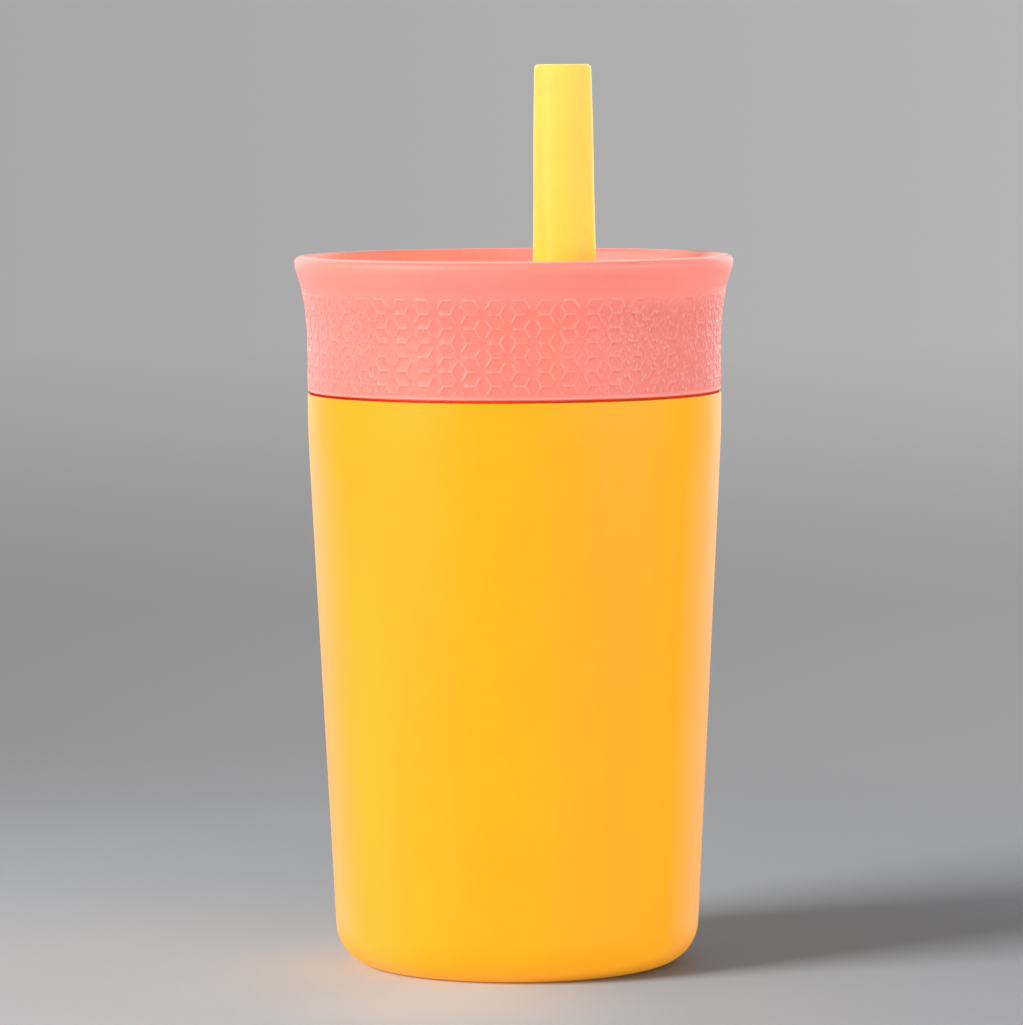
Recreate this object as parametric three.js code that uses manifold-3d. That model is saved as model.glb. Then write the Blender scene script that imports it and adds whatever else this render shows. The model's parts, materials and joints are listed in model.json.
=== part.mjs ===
// Child's insulated straw tumbler: a double-wall steel cup, a twist-on lid with a soft
// flared collar, and a flexible straw with a spill valve.
// Millimetres, +Z up. Origin: centre of the foot ring, on the plane the cup stands on.
// The straw leaves the deck on the +X side, the air vent is on the -X side.

import * as THREE from "three";
import { mergeVertices } from "three/addons/utils/BufferGeometryUtils.js";
import Module from "manifold-3d";

const { degToRad } = THREE.MathUtils;
const wasm = await Module();
wasm.setup();

// ---------------------------------------------------------------- driving dimensions
// _R is a radius and _Z a height above the foot plane.

const SEG = 40; // facets round the cup and lid
const SEG_STRAW = 24; // facets round the straw parts
const SEG_SMALL = 16; // facets round the small valves and seals
const SEG_AIR_HOLE = 8; // facets round each air hole
const WELD = 1e-4; // vertices closer than this are merged

// cup, outside
const FOOT_INNER_R = 24.6;
const FOOT_OUTER_R = 27.4;
const BASE_FILLET = 8.2;
const WALL_LOW_R = 35.59; // where the fillet meets the tapered wall
const WALL_HIGH = [40.15, 100]; // [radius, height] near the top of the taper
const BODY_TOP_R = 40.4;
const BODY_TOP_START_Z = 105.5; // the wall is upright above this
const SHOULDER_Z = 112.15;
const SHOULDER_UNDER_Z = 111.4;
const SHEET = 0.7; // outer sheet with its coat
const NECK_R = 36.2;
const NECK_IN_R = NECK_R - SHEET + 0.1;
const NECK_TOP_Z = 121.9;

// cup, inside
const LINER_SHEET = 0.6;
const LINER_FLOOR_Z = 6.5;
const LINER_LOW_R = 31.0;
const LINER_CORNER = 8.0;
const LINER_TAPER_TOP_Z = 112;
const MOUTH_R = 34.9;
const LIP_Z = 122.85;

// cup, base
const PLATE_R = FOOT_INNER_R - 0.1;
const PUMP_HOLE_R = 1.2;
const COVER_R = FOOT_INNER_R - 0.2;
const GETTER_X = -13;

// three-start thread between neck and lid
const STARTS = 3;
const LEAD = 12; // rise in one full turn
const RIDGE_STEPS = 12; // facets each ridge covers, out of SEG
const THREAD_Z = 115.6; // centre of each neck ridge where it starts
const THREAD_DEPTH = 1.0;
const THREAD_ROOT_W = 1.5;
const THREAD_CREST_W = 0.8;
const THREAD_BURIAL = 0.25; // how far a ridge's root sinks into its wall
const THREAD_SHIFT = 1.65; // lid ridges lie this far below the neck ridges

// lid core
const SKIRT_IN_R = 37.6;
const SKIRT_OUT_R = 39.0;
const SKIRT_BEAD_R = 39.5; // raised band round the skirt
const SKIRT_BOTTOM_Z = 113.0;
const LID_THREAD_CREST_R = 36.5;
const DECK_TOP_Z = 126.0;
const DECK_UNDER_Z = 124.0;
const GASKET_SEAT_Z = 124.7;
const PLUG_OUT_R = 34.3;
const PLUG_IN_R = 32.9;
const PLUG_BOTTOM_Z = 119.4;
const BOSS_R = 10.6;
const BOSS_TOP_Z = 128.9;
const GUIDE_R = 7.2; // tube under the deck
const GUIDE_BOTTOM_Z = 119.6;

// soft collar
const COLLAR_R = 40.4;
const COLLAR_IN_GAP = 0.1; // between skirt and collar
const COLLAR_BOTTOM_Z = 112.75;

// straw
const STRAW_X = 9.93;
const STRAW_GAP = 0.1; // between the straw's fitted parts
const BEND_Z = 134.2; // height of the point the soft straw bends about
const BEND_DOME_R = 4.9; // foot's dome, inside the mouthpiece
const BEND_BOWL_R = 5.2; // mouthpiece's bowl, over the dome
const BEND_SOCKET_R = 6.6; // foot's socket, round the mouthpiece
const STRAW_LEAN = -0.0108; // shift along X per millimetre of height above the bowl
const STRAW_TOP_Z = 176.0;
const CHANNEL_R = 3.0;
const STEM_R = 4.85;
const BORE_R = 5.05;
const FLANGE_R = 7.7;
const FLANGE_BOTTOM_Z = 127.15;
const FLANGE_SEAT_R = FLANGE_R + 0.2;
const FLANGE_SEAT_Z = 127.1;
const VALVE_R = 3.8;
const VALVE_RIM_TOP_Z = 120.85;
const VALVE_RIM_BOTTOM_Z = 119.95;
const SLIT_LENGTH = 2.8;
const SLIT_WIDTH = 0.16;
const CONNECTOR_R = 4.7; // connector's flange, under the foot
const FLANGE_TOP_Z = 117.2; // top of the connector's flange
const LOWER_OUT_R = 4.0;
const LOWER_IN_R = 2.95;
const LOWER_TOP_Z = 115.75;
const LOWER_END_Z = 9.6;
const LOWER_CUT_DEG = 35; // slant of the lower end

// air vent
const VENT_X = -17;
const VENT_STEM_R = 1.1;
const VENT_STEM_HOLE_R = VENT_STEM_R + 0.15;
const VENT_CAP_R = 4.9;
const VENT_RECESS_R = 5.4;
const VENT_RECESS_Z = 125.2;
const AIR_HOLES = 4;
const AIR_HOLE_R = 0.75;
const AIR_HOLE_RING_R = 3.1; // circle the hole centres lie on

// ---------------------------------------------------------------- colours and finishes

const finish = (settings) => new THREE.MeshStandardMaterial(settings);
const AMBER_COAT = finish({ color: 0xffb921, roughness: 0.5, metalness: 0.1 });
const STEEL = finish({ color: 0xb9bcc0, roughness: 0.35, metalness: 1 });
const CORAL_SOFT = finish({ color: 0xff8e7c, roughness: 0.55 });
const CORAL_RIGID = finish({ color: 0xfb8a78, roughness: 0.45 });
const YELLOW_SOFT = finish({ color: 0xffdc5e, roughness: 0.5 });
const CLEAR_SOFT = finish({ color: 0xe9e6df, roughness: 0.5 });
const WHITE_RIGID = finish({ color: 0xf4f1ea, roughness: 0.45 });
const SOLDER_GLASS = finish({ color: 0x6d6f68, roughness: 0.3 });
const GETTER_GREY = finish({ color: 0x55585c, roughness: 0.9 });

// ---------------------------------------------------------------- helpers

// Positions only, with coincident vertices shared.
function weld(geometry) {
  geometry.deleteAttribute("normal");
  geometry.deleteAttribute("uv");
  return mergeVertices(geometry, WELD);
}

// Turns every face round if the closed mesh is inside out.
function faceOutwards(geometry) {
  const index = geometry.index.array;
  const corners = [0, 1, 2].map(() => new THREE.Vector3());
  let volume = 0;
  for (let i = 0; i < index.length; i += 3) {
    corners.forEach((corner, k) =>
      corner.fromBufferAttribute(geometry.attributes.position, index[i + k]),
    );
    volume += corners[0].dot(corners[1].cross(corners[2]));
  }
  if (volume < 0)
    for (let i = 0; i < index.length; i += 3)
      [index[i + 1], index[i + 2]] = [index[i + 2], index[i + 1]];
  return geometry;
}

// A closed, outward-facing mesh as a Manifold solid.
function solid(geometry) {
  const welded = weld(geometry);
  return new wasm.Manifold(
    new wasm.Mesh({
      numProp: 3,
      vertProperties: new Float32Array(welded.attributes.position.array),
      triVerts: new Uint32Array(welded.index.array),
    }),
  );
}

const addAll = (body, geometries) =>
  geometries.reduce((sum, geometry) => sum.add(solid(geometry)), body);
const cutAll = (body, geometries) =>
  geometries.reduce((rest, geometry) => rest.subtract(solid(geometry)), body);

// A Manifold solid back as a drawable mesh.
function geometryOf(body) {
  const mesh = body.getMesh();
  const position = new Float32Array(mesh.numVert * 3);
  for (let i = 0; i < mesh.numVert; i++)
    for (let k = 0; k < 3; k++)
      position[i * 3 + k] = mesh.vertProperties[i * mesh.numProp + k];
  const geometry = new THREE.BufferGeometry();
  geometry.setAttribute("position", new THREE.BufferAttribute(position, 3));
  geometry.setIndex(new THREE.BufferAttribute(new Uint32Array(mesh.triVerts), 1));
  geometry.computeVertexNormals();
  return geometry;
}

// A profile of [radius, height] points turned about +Z. It starts and ends on the axis,
// or it is closed on itself here. It may run either way round.
function turned(profile, segments = SEG) {
  const onAxis = profile[0][0] === 0 && profile.at(-1)[0] === 0;
  const points = profile.map(([radius, z]) => new THREE.Vector2(radius, z));
  if (!onAxis) points.push(points[0].clone());
  const lathe = new THREE.LatheGeometry(points, segments);
  lathe.rotateX(Math.PI / 2);
  const welded = weld(lathe);
  // triangles that collapse on the axis are dropped
  const index = welded.index.array;
  const kept = [];
  for (let i = 0; i < index.length; i += 3) {
    const triangle = [index[i], index[i + 1], index[i + 2]];
    if (new Set(triangle).size === 3) kept.push(...triangle);
  }
  welded.setIndex(kept);
  return faceOutwards(welded);
}

// A plain upright cylinder.
function rod({ radius, bottom, top, x = 0, y = 0, segments = SEG_STRAW }) {
  return new THREE.CylinderGeometry(radius, radius, top - bottom, segments)
    .rotateX(Math.PI / 2)
    .translate(x, y, (bottom + top) / 2);
}

// Profile points along an arc centred at [centreR, centreZ]; 0 degrees points outwards.
function arc({ centreR = 0, centreZ, radius, from, to, steps }) {
  return Array.from({ length: steps + 1 }, (_, i) => {
    const angle = degToRad(from + ((to - from) * i) / steps);
    return [centreR + radius * Math.cos(angle), centreZ + radius * Math.sin(angle)];
  });
}

// One helical thread ridge: a trapezoid swept up a helix, from rootR (buried in its wall)
// to crestR.
function ridge({ rootR, crestR, startDeg, startZ }) {
  const section = [
    [rootR, -THREAD_ROOT_W / 2],
    [crestR, -THREAD_CREST_W / 2],
    [crestR, THREAD_CREST_W / 2],
    [rootR, THREAD_ROOT_W / 2],
  ];
  const position = [];
  const index = [];
  for (let i = 0; i <= RIDGE_STEPS; i++) {
    const turn = (i / SEG) * 360;
    const angle = degToRad(startDeg + turn);
    const z = startZ + (LEAD * turn) / 360;
    for (const [radius, rise] of section)
      position.push(radius * Math.cos(angle), radius * Math.sin(angle), z + rise);
  }
  for (let i = 0; i < RIDGE_STEPS; i++)
    for (let k = 0; k < 4; k++) {
      const here = i * 4 + k;
      const next = i * 4 + ((k + 1) % 4);
      index.push(here, here + 4, next, next, here + 4, next + 4);
    }
  // flat ends
  const end = RIDGE_STEPS * 4;
  index.push(0, 1, 2, 0, 2, 3);
  index.push(end, end + 2, end + 1, end, end + 3, end + 2);
  const geometry = new THREE.BufferGeometry();
  geometry.setAttribute("position", new THREE.Float32BufferAttribute(position, 3));
  geometry.setIndex(index);
  return faceOutwards(geometry);
}

// The ridges of all starts, evenly spaced round the axis.
const thread = (rootR, crestR, startZ) =>
  Array.from({ length: STARTS }, (_, i) =>
    ridge({ rootR, crestR, startDeg: (360 / STARTS) * i, startZ }),
  );

// ---------------------------------------------------------------- cup

// Foot ring, rounded base, tapered wall, shoulder and rolled neck with thread.
function outerShell() {
  const fillet = { centreR: FOOT_OUTER_R, centreZ: BASE_FILLET };
  const wall = turned([
    // outside, upwards
    [FOOT_INNER_R, 0],
    ...arc({ ...fillet, radius: BASE_FILLET, from: -90, to: -3, steps: 5 }),
    WALL_HIGH,
    [BODY_TOP_R, BODY_TOP_START_Z], [BODY_TOP_R, 111.2],
    [40.0, 111.95], [39.4, SHOULDER_Z],
    [NECK_R, SHOULDER_Z], [NECK_R, NECK_TOP_Z],
    // inside, downwards
    [NECK_IN_R, NECK_TOP_Z], [NECK_IN_R, SHOULDER_UNDER_Z],
    [39.2, SHOULDER_UNDER_Z], [BODY_TOP_R - SHEET, 110.9],
    [BODY_TOP_R - SHEET, BODY_TOP_START_Z],
    [WALL_LOW_R - SHEET, 7.9],
    ...arc({ ...fillet, radius: BASE_FILLET - SHEET, from: -25, to: -90, steps: 2 }),
    [FOOT_INNER_R + SHEET, SHEET], [FOOT_INNER_R + SHEET, 2.6],
    [FOOT_INNER_R, 2.6],
  ]);
  const ridges = thread(NECK_R - THREAD_BURIAL, NECK_R + THREAD_DEPTH, THREAD_Z);
  return geometryOf(addAll(solid(wall), ridges));
}

// Inner wall of the vacuum vessel, rolled over the neck at the drinking lip.
function innerLiner() {
  const corner = {
    centreR: LINER_LOW_R - LINER_CORNER,
    centreZ: LINER_FLOOR_Z + LINER_CORNER,
  };
  const backR = MOUTH_R + LINER_SHEET + 0.05; // vacuum side, at the mouth
  const rollBottomZ = NECK_TOP_Z + 0.05;
  return turned([
    // drink side, upwards
    [0, LINER_FLOOR_Z],
    ...arc({ ...corner, radius: LINER_CORNER, from: -90, to: 0, steps: 4 }),
    [MOUTH_R, LINER_TAPER_TOP_Z], [MOUTH_R, 122.3],
    // lip
    [35.55, LIP_Z], [36.0, 122.65], [NECK_R, 122.25],
    // vacuum side, downwards
    [NECK_R, rollBottomZ], [backR, rollBottomZ],
    [backR, LINER_TAPER_TOP_Z],
    ...arc({ ...corner, radius: LINER_CORNER + LINER_SHEET, from: 0, to: -90, steps: 3 }),
    [0, LINER_FLOOR_Z - LINER_SHEET],
  ]);
}

// Bottom of the vacuum vessel, with a dimple and a pump-out hole.
const vacuumBasePlate = () =>
  turned([
    [PUMP_HOLE_R, 2.7], [6.0, 2.7], [7.2, 1.9], [PLATE_R, 1.9],
    [PLATE_R, 2.5], [7.4, 2.5], [6.2, 3.3], [PUMP_HOLE_R, 3.3],
  ]);

// Bead of solder glass that closes the pump-out hole.
function vacuumSealBead() {
  const plugR = PUMP_HOLE_R - 0.1;
  return turned(
    [
      [0, 1.9], [2.6, 1.98], [4.0, 2.25], [4.4, 2.62],
      [plugR, 2.65], [plugR, 3.6], [0, 3.8],
    ],
    SEG_SMALL,
  );
}

// Pressed cover that hides the seal, set back from the foot ring.
const baseCover = () =>
  turned([
    [0, 0.75], [19.0, 0.75], [20.2, 0.3], [COVER_R, 0.3], [COVER_R, 1.5],
    [23.7, 1.5], [23.7, 1.05], [20.6, 1.05], [19.4, 1.5], [0, 1.5],
  ]);

// Small steel cup, open downwards, under the liner's floor.
const getterHolder = () =>
  turned(
    [[0, 5.84], [4.2, 5.84], [4.2, 4.1], [3.9, 4.1], [3.9, 5.5], [0, 5.5]],
    SEG_SMALL,
  ).translate(GETTER_X, 0, 0);

// Getter pellet, held in that cup inside the vacuum.
const getterPellet = () =>
  turned(
    [[0, 5.4], [3.6, 5.4], [3.6, 4.4], [0, 4.4]],
    SEG_SMALL,
  ).translate(GETTER_X, 0, 0);

// ---------------------------------------------------------------- lid

// Ring seal between the lid and the rolled lip.
const lidGasket = () =>
  turned([
    [34.5, 123.15], [34.9, 122.92], [36.9, 122.92], [37.3, 123.15],
    [37.3, 124.35], [37.0, 124.62], [34.8, 124.62], [34.5, 124.35],
  ]);

// Deck, gasket groove, plug rib and skirt, before the thread and fittings.
const lidShell = () =>
  turned([
    [0, DECK_TOP_Z], [38.4, DECK_TOP_Z],
    [SKIRT_OUT_R, 125.4], [SKIRT_OUT_R, 119.4],
    [SKIRT_BEAD_R, 119.0], [SKIRT_BEAD_R, 117.4],
    [SKIRT_OUT_R, 117.0], [SKIRT_OUT_R, SKIRT_BOTTOM_Z],
    [SKIRT_IN_R, SKIRT_BOTTOM_Z], [SKIRT_IN_R, GASKET_SEAT_Z],
    [PLUG_OUT_R, GASKET_SEAT_Z], [PLUG_OUT_R, 120.0],
    [PLUG_OUT_R - 0.5, PLUG_BOTTOM_Z], [PLUG_IN_R, PLUG_BOTTOM_Z],
    [PLUG_IN_R, DECK_UNDER_Z], [0, DECK_UNDER_Z],
  ]);

// Straw boss above the deck, sunk into it to fuse.
const strawBoss = () =>
  turned(
    [
      [0, 125.0], [BOSS_R, 125.0], [BOSS_R, DECK_TOP_Z], [9.7, 127.0],
      [9.5, 128.5], [9.1, BOSS_TOP_Z], [0, BOSS_TOP_Z],
    ],
    SEG_STRAW,
  ).translate(STRAW_X, 0, 0);

// Air holes on the diagonals round the vent's stem.
const airHoles = (span) =>
  Array.from({ length: AIR_HOLES }, (_, i) => {
    const angle = Math.PI / 4 + (i * 2 * Math.PI) / AIR_HOLES;
    return rod({
      ...span,
      radius: AIR_HOLE_R,
      x: VENT_X + AIR_HOLE_RING_R * Math.cos(angle),
      y: AIR_HOLE_RING_R * Math.sin(angle),
      segments: SEG_AIR_HOLE,
    });
  });

// Rigid core: shell with inside thread, straw boss and guide tube, and vent recess.
function lidCore() {
  const ridges = thread(
    SKIRT_IN_R + THREAD_BURIAL,
    LID_THREAD_CREST_R,
    THREAD_Z - THREAD_SHIFT,
  );
  const guide = rod({ radius: GUIDE_R, bottom: GUIDE_BOTTOM_Z, top: 124.5, x: STRAW_X });
  const body = addAll(solid(lidShell()), [...ridges, strawBoss(), guide]);
  // cutters overshoot the faces they open through
  const aboveBoss = 131;
  const throughDeck = { bottom: 122, top: 127 };
  const cuts = [
    rod({ radius: BORE_R, bottom: 118, top: aboveBoss, x: STRAW_X }),
    rod({ radius: FLANGE_SEAT_R, bottom: FLANGE_SEAT_Z, top: aboveBoss, x: STRAW_X }),
    rod({ radius: VENT_RECESS_R, bottom: VENT_RECESS_Z, top: 128, x: VENT_X }),
    rod({ ...throughDeck, radius: VENT_STEM_HOLE_R, x: VENT_X, segments: SEG_SMALL }),
    ...airHoles(throughDeck),
  ];
  return geometryOf(cutAll(body, cuts));
}

// Soft collar: grip band round the skirt, flaring to the rolled rim above the deck.
function gripCollar() {
  const inR = SKIRT_OUT_R + COLLAR_IN_GAP;
  const grooveR = SKIRT_BEAD_R + COLLAR_IN_GAP;
  return turned([
    // outside, upwards
    [inR, COLLAR_BOTTOM_Z], [39.7, COLLAR_BOTTOM_Z],
    [COLLAR_R, 113.3], [COLLAR_R, 123.5],
    [40.72, 127.5], [41.3, 131.3], [42.05, 134.5], [42.68, 136.5],
    // rolled rim
    [42.78, 137.5], [42.4, 138.5], [41.6, 139.0], [40.8, 138.7], [40.2, 137.5],
    // inside, downwards
    [38.7, 129.7], [37.9, 127.2], [37.0, 126.1], [38.45, 126.1],
    [inR, 125.45], [inR, 119.45],
    [grooveR, 119.05], [grooveR, 117.35], [inR, 116.95],
  ]);
}

// Umbrella valve that lets air in as the drink is drawn out.
const ventValve = () =>
  turned(
    [
      [0, 122.95], [3.2, 123.15], [VENT_CAP_R, 123.65], [4.75, 123.95],
      [VENT_STEM_R, 123.95], [VENT_STEM_R, 126.1],
      [1.9, 126.3], [1.7, 126.95], [0.9, 127.4], [0, 127.5],
    ],
    SEG_SMALL,
  ).translate(VENT_X, 0, 0);

// ---------------------------------------------------------------- straw
// Built about the straw's own axis; its group stands at STRAW_X.

// Soft mouthpiece above the bend. Its lower end is a bowl over the foot's dome, so the
// two halves of the straw turn about one point without a gap.
function strawMouthpiece() {
  const bowl = arc({ centreZ: BEND_Z, radius: BEND_BOWL_R, from: -3, to: 54, steps: 5 });
  const geometry = turned(
    [
      ...bowl,
      [CHANNEL_R, 139.5], [CHANNEL_R, 175.5],
      [3.5, STRAW_TOP_Z], [4.85, STRAW_TOP_Z], [5.32, 175.6], [5.5, 174.9],
      [5.76, 163.0], [5.98, 148.0], [6.15, 138.3], [6.1, 136.0],
      [6.05, bowl[0][1]],
    ],
    SEG_STRAW,
  );
  const { position } = geometry.attributes;
  for (let i = 0; i < position.count; i++) {
    const aboveBowl = Math.max(0, position.getZ(i) - BEND_Z - BEND_BOWL_R);
    position.setX(i, position.getX(i) + STRAW_LEAN * aboveBowl);
  }
  return geometry;
}

// Foot of the same soft straw: dome and socket for the bend, flange on the deck's boss,
// stem through the bore.
function strawFoot() {
  const pocketR = VALVE_R + STRAW_GAP;
  const pocketTopZ = VALVE_RIM_TOP_Z + STRAW_GAP;
  const bottomZ = FLANGE_TOP_Z + STRAW_GAP;
  return turned(
    [
      [2.8, pocketTopZ],
      ...arc({ centreZ: BEND_Z, radius: BEND_DOME_R, from: 55, to: -39, steps: 7 }),
      ...arc({ centreZ: BEND_Z, radius: BEND_SOCKET_R, from: -55, to: -16, steps: 4 }),
      [6.75, 132.4], [6.75, 129.5],
      [FLANGE_R, 128.9], [FLANGE_R, FLANGE_BOTTOM_Z],
      [STEM_R, FLANGE_BOTTOM_Z], [STEM_R, 119.0],
      [4.98, 118.7], [4.98, 118.3],
      [CONNECTOR_R, bottomZ], [pocketR, bottomZ], [pocketR, pocketTopZ],
    ],
    SEG_STRAW,
  );
}

// Spill valve: a thin dome with a cross slit, trapped inside the foot.
function spillValve() {
  const dome = turned(
    [
      [0, 121.7], [1.5, 121.4],
      [2.5, VALVE_RIM_TOP_Z], [VALVE_R, VALVE_RIM_TOP_Z],
      [VALVE_R, VALVE_RIM_BOTTOM_Z], [2.5, VALVE_RIM_BOTTOM_Z],
      [1.6, 120.7], [0, 121.05],
    ],
    SEG_STRAW,
  );
  const slits = [
    [SLIT_LENGTH, SLIT_WIDTH],
    [SLIT_WIDTH, SLIT_LENGTH],
  ].map(([sizeX, sizeY]) => new THREE.BoxGeometry(sizeX, sizeY, 4).translate(0, 0, 121));
  return geometryOf(cutAll(solid(dome), slits));
}

// Rigid connector that holds the valve in and takes the lower straw.
function strawConnector() {
  const channelR = 1.9;
  const topZ = VALVE_RIM_BOTTOM_Z - STRAW_GAP;
  const flangeBottomZ = LOWER_TOP_Z + STRAW_GAP;
  const spigotR = LOWER_IN_R - STRAW_GAP;
  return turned(
    [
      [channelR, topZ], [3.6, topZ], [VALVE_R, 119.6], [VALVE_R, FLANGE_TOP_Z],
      [CONNECTOR_R, FLANGE_TOP_Z], [CONNECTOR_R, flangeBottomZ],
      [spigotR, flangeBottomZ], [spigotR, 112.0], [2.6, 110.8], [channelR, 110.8],
    ],
    SEG_STRAW,
  );
}

// Lower straw down to the floor, its end cut at a slant so it can't seal on the floor.
function lowerStraw() {
  const tube = turned(
    [
      [LOWER_IN_R, LOWER_END_Z], [LOWER_OUT_R, LOWER_END_Z],
      [LOWER_OUT_R, LOWER_TOP_Z], [LOWER_IN_R, LOWER_TOP_Z],
    ],
    SEG_STRAW,
  );
  const cutter = new THREE.BoxGeometry(20, 20, 10)
    .rotateY(degToRad(LOWER_CUT_DEG))
    .translate(-LOWER_OUT_R + 0.9, 0, LOWER_END_Z - 1.4);
  return geometryOf(cutAll(solid(tube), [cutter]));
}

// ---------------------------------------------------------------- assembly

// A group of meshes from rows of [name, geometry, material].
function assembly(rows) {
  const group = new THREE.Group();
  for (const [name, geometry, material] of rows) {
    const mesh = new THREE.Mesh(geometry, material);
    mesh.name = name;
    group.add(mesh);
  }
  return group;
}

const cup = assembly([
  ["outer_shell", outerShell(), AMBER_COAT],
  ["inner_liner", innerLiner(), STEEL],
  ["vacuum_base_plate", vacuumBasePlate(), STEEL],
  ["vacuum_seal_bead", vacuumSealBead(), SOLDER_GLASS],
  ["base_cover", baseCover(), AMBER_COAT],
  ["getter_holder", getterHolder(), STEEL],
  ["getter_pellet", getterPellet(), GETTER_GREY],
]);

const lid = assembly([
  ["lid_gasket", lidGasket(), CLEAR_SOFT],
  ["lid_core", lidCore(), CORAL_RIGID],
  ["grip_collar", gripCollar(), CORAL_SOFT],
  ["vent_valve", ventValve(), CLEAR_SOFT],
]);

const straw = assembly([
  ["straw_mouthpiece", strawMouthpiece(), YELLOW_SOFT],
  ["straw_foot", strawFoot(), YELLOW_SOFT],
  ["spill_valve", spillValve(), YELLOW_SOFT],
  ["straw_connector", strawConnector(), WHITE_RIGID],
  ["lower_straw", lowerStraw(), YELLOW_SOFT],
]);
straw.position.set(STRAW_X, 0, 0);

const tumbler = new THREE.Group();
tumbler.add(cup, lid, straw);

export default tumbler;
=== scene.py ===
"""A child's insulated straw tumbler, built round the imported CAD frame.

The cup stands on z = 0 with its axis on +Z. Its front faces -Y, towards the camera, and +X
is on the right. Pieces are measured in millimetres and turned into metres where a mesh is
made; materials, lights and the camera are in metres.

A profile is an outline turned about +Z. Its points are (radius, z) or (radius, z, rounding),
where rounding is the radius of that corner. One that starts on the axis is left open; one
that starts off it closes into a ring.
"""

import json
import math
from functools import cached_property

import bmesh
import bpy
import numpy as np
from mathutils import Matrix, Vector
from mathutils.geometry import delaunay_2d_cdt

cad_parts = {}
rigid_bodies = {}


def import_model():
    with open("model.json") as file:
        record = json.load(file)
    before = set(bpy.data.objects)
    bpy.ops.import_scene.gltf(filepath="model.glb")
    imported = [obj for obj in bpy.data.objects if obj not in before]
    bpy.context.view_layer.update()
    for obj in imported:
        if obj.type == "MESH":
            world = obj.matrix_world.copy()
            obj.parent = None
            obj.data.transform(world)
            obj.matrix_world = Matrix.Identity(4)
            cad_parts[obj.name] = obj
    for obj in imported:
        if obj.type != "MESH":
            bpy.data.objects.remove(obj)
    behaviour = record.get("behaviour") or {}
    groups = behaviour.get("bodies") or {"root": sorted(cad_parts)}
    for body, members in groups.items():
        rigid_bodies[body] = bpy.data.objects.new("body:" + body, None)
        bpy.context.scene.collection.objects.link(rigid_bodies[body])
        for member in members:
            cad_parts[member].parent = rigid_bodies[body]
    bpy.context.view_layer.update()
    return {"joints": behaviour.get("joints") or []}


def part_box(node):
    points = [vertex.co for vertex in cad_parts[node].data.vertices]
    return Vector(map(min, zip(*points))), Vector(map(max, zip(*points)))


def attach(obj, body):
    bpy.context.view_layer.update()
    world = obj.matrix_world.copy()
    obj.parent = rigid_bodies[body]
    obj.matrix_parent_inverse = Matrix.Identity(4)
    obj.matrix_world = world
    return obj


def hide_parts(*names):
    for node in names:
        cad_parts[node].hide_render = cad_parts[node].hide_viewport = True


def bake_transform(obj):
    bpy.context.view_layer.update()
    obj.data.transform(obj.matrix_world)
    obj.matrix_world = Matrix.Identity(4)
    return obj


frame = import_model()

MM = 0.001
TAU = 2 * math.pi


# ---------------------------------------------------------------- places from the frame


def box_mm(node):
    lo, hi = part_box(node)
    return np.array(lo) / MM, np.array(hi) / MM


def middle_mm(node):
    """The x and y of a node's centre."""
    lo, hi = box_mm(node)
    return (lo[0] + hi[0]) / 2, (lo[1] + hi[1]) / 2


collar_lo, collar_hi = box_mm("grip_collar")
lower_lo, lower_hi = box_mm("lower_straw")
gasket_lo, gasket_hi = box_mm("lid_gasket")

STRAW_AT = middle_mm("straw_foot")
VENT_AT = middle_mm("vent_valve")
GETTER_AT = middle_mm("getter_holder")
NECK_TOP = box_mm("outer_shell")[1][2]
LINER_TOP = box_mm("inner_liner")[1][2]
STRAW_TOP = box_mm("straw_mouthpiece")[1][2]
SKIRT_Z0 = box_mm("lid_core")[0][2]
COLLAR_Z0, COLLAR_Z1 = collar_lo[2], collar_hi[2]
LIP_R = collar_hi[0]


# ---------------------------------------------------------------- profile helpers


def is_ring(profile):
    return profile[0][0] > 1e-9


def arc(centre_r, centre_z, radius, start, end, steps):
    """Points on an arc between two angles in degrees."""
    turns = np.radians(np.linspace(start, end, steps + 1))
    return [(centre_r + radius * math.cos(t), centre_z + radius * math.sin(t)) for t in turns]


def rounded(points, closed=None, step=11.0):
    """Rounds the corners, at most step degrees a span, with a support point either side."""
    if closed is None:
        closed = is_ring(points)
    out, count = [], len(points)
    for i, point in enumerate(points):
        corner = np.array(point[:2], float)
        radius = point[2] if len(point) > 2 else 0.0
        if radius <= 0 or (not closed and i in (0, count - 1)):
            out.append(corner)
            continue
        back = np.array(points[i - 1][:2], float) - corner
        ahead = np.array(points[(i + 1) % count][:2], float) - corner
        back_len, ahead_len = np.linalg.norm(back), np.linalg.norm(ahead)
        back, ahead = back / back_len, ahead / ahead_len
        angle = math.acos(float(np.clip(back @ ahead, -1, 1)))
        if math.pi - angle < 0.03:
            out.append(corner)
            continue
        trim = min(radius / math.tan(angle / 2), 0.45 * back_len, 0.45 * ahead_len)
        radius = trim * math.tan(angle / 2)
        bisector = (back + ahead) / np.linalg.norm(back + ahead)
        middle = corner + bisector * (radius / math.sin(angle / 2))
        first, last = corner + back * trim - middle, corner + ahead * trim - middle
        sweep = math.atan2(first[0] * last[1] - first[1] * last[0], float(first @ last))
        steps = max(2, math.ceil(abs(math.degrees(sweep)) / step))
        out.append(corner + back * (trim + min(0.06, 0.1 * back_len)))
        for j in range(steps + 1):
            turn = sweep * j / steps
            cos, sin = math.cos(turn), math.sin(turn)
            spoke = [first[0] * cos - first[1] * sin, first[0] * sin + first[1] * cos]
            out.append(middle + np.array(spoke))
        out.append(corner + ahead * (trim + min(0.06, 0.1 * ahead_len)))
    return [tuple(p) for p in out]


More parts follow.
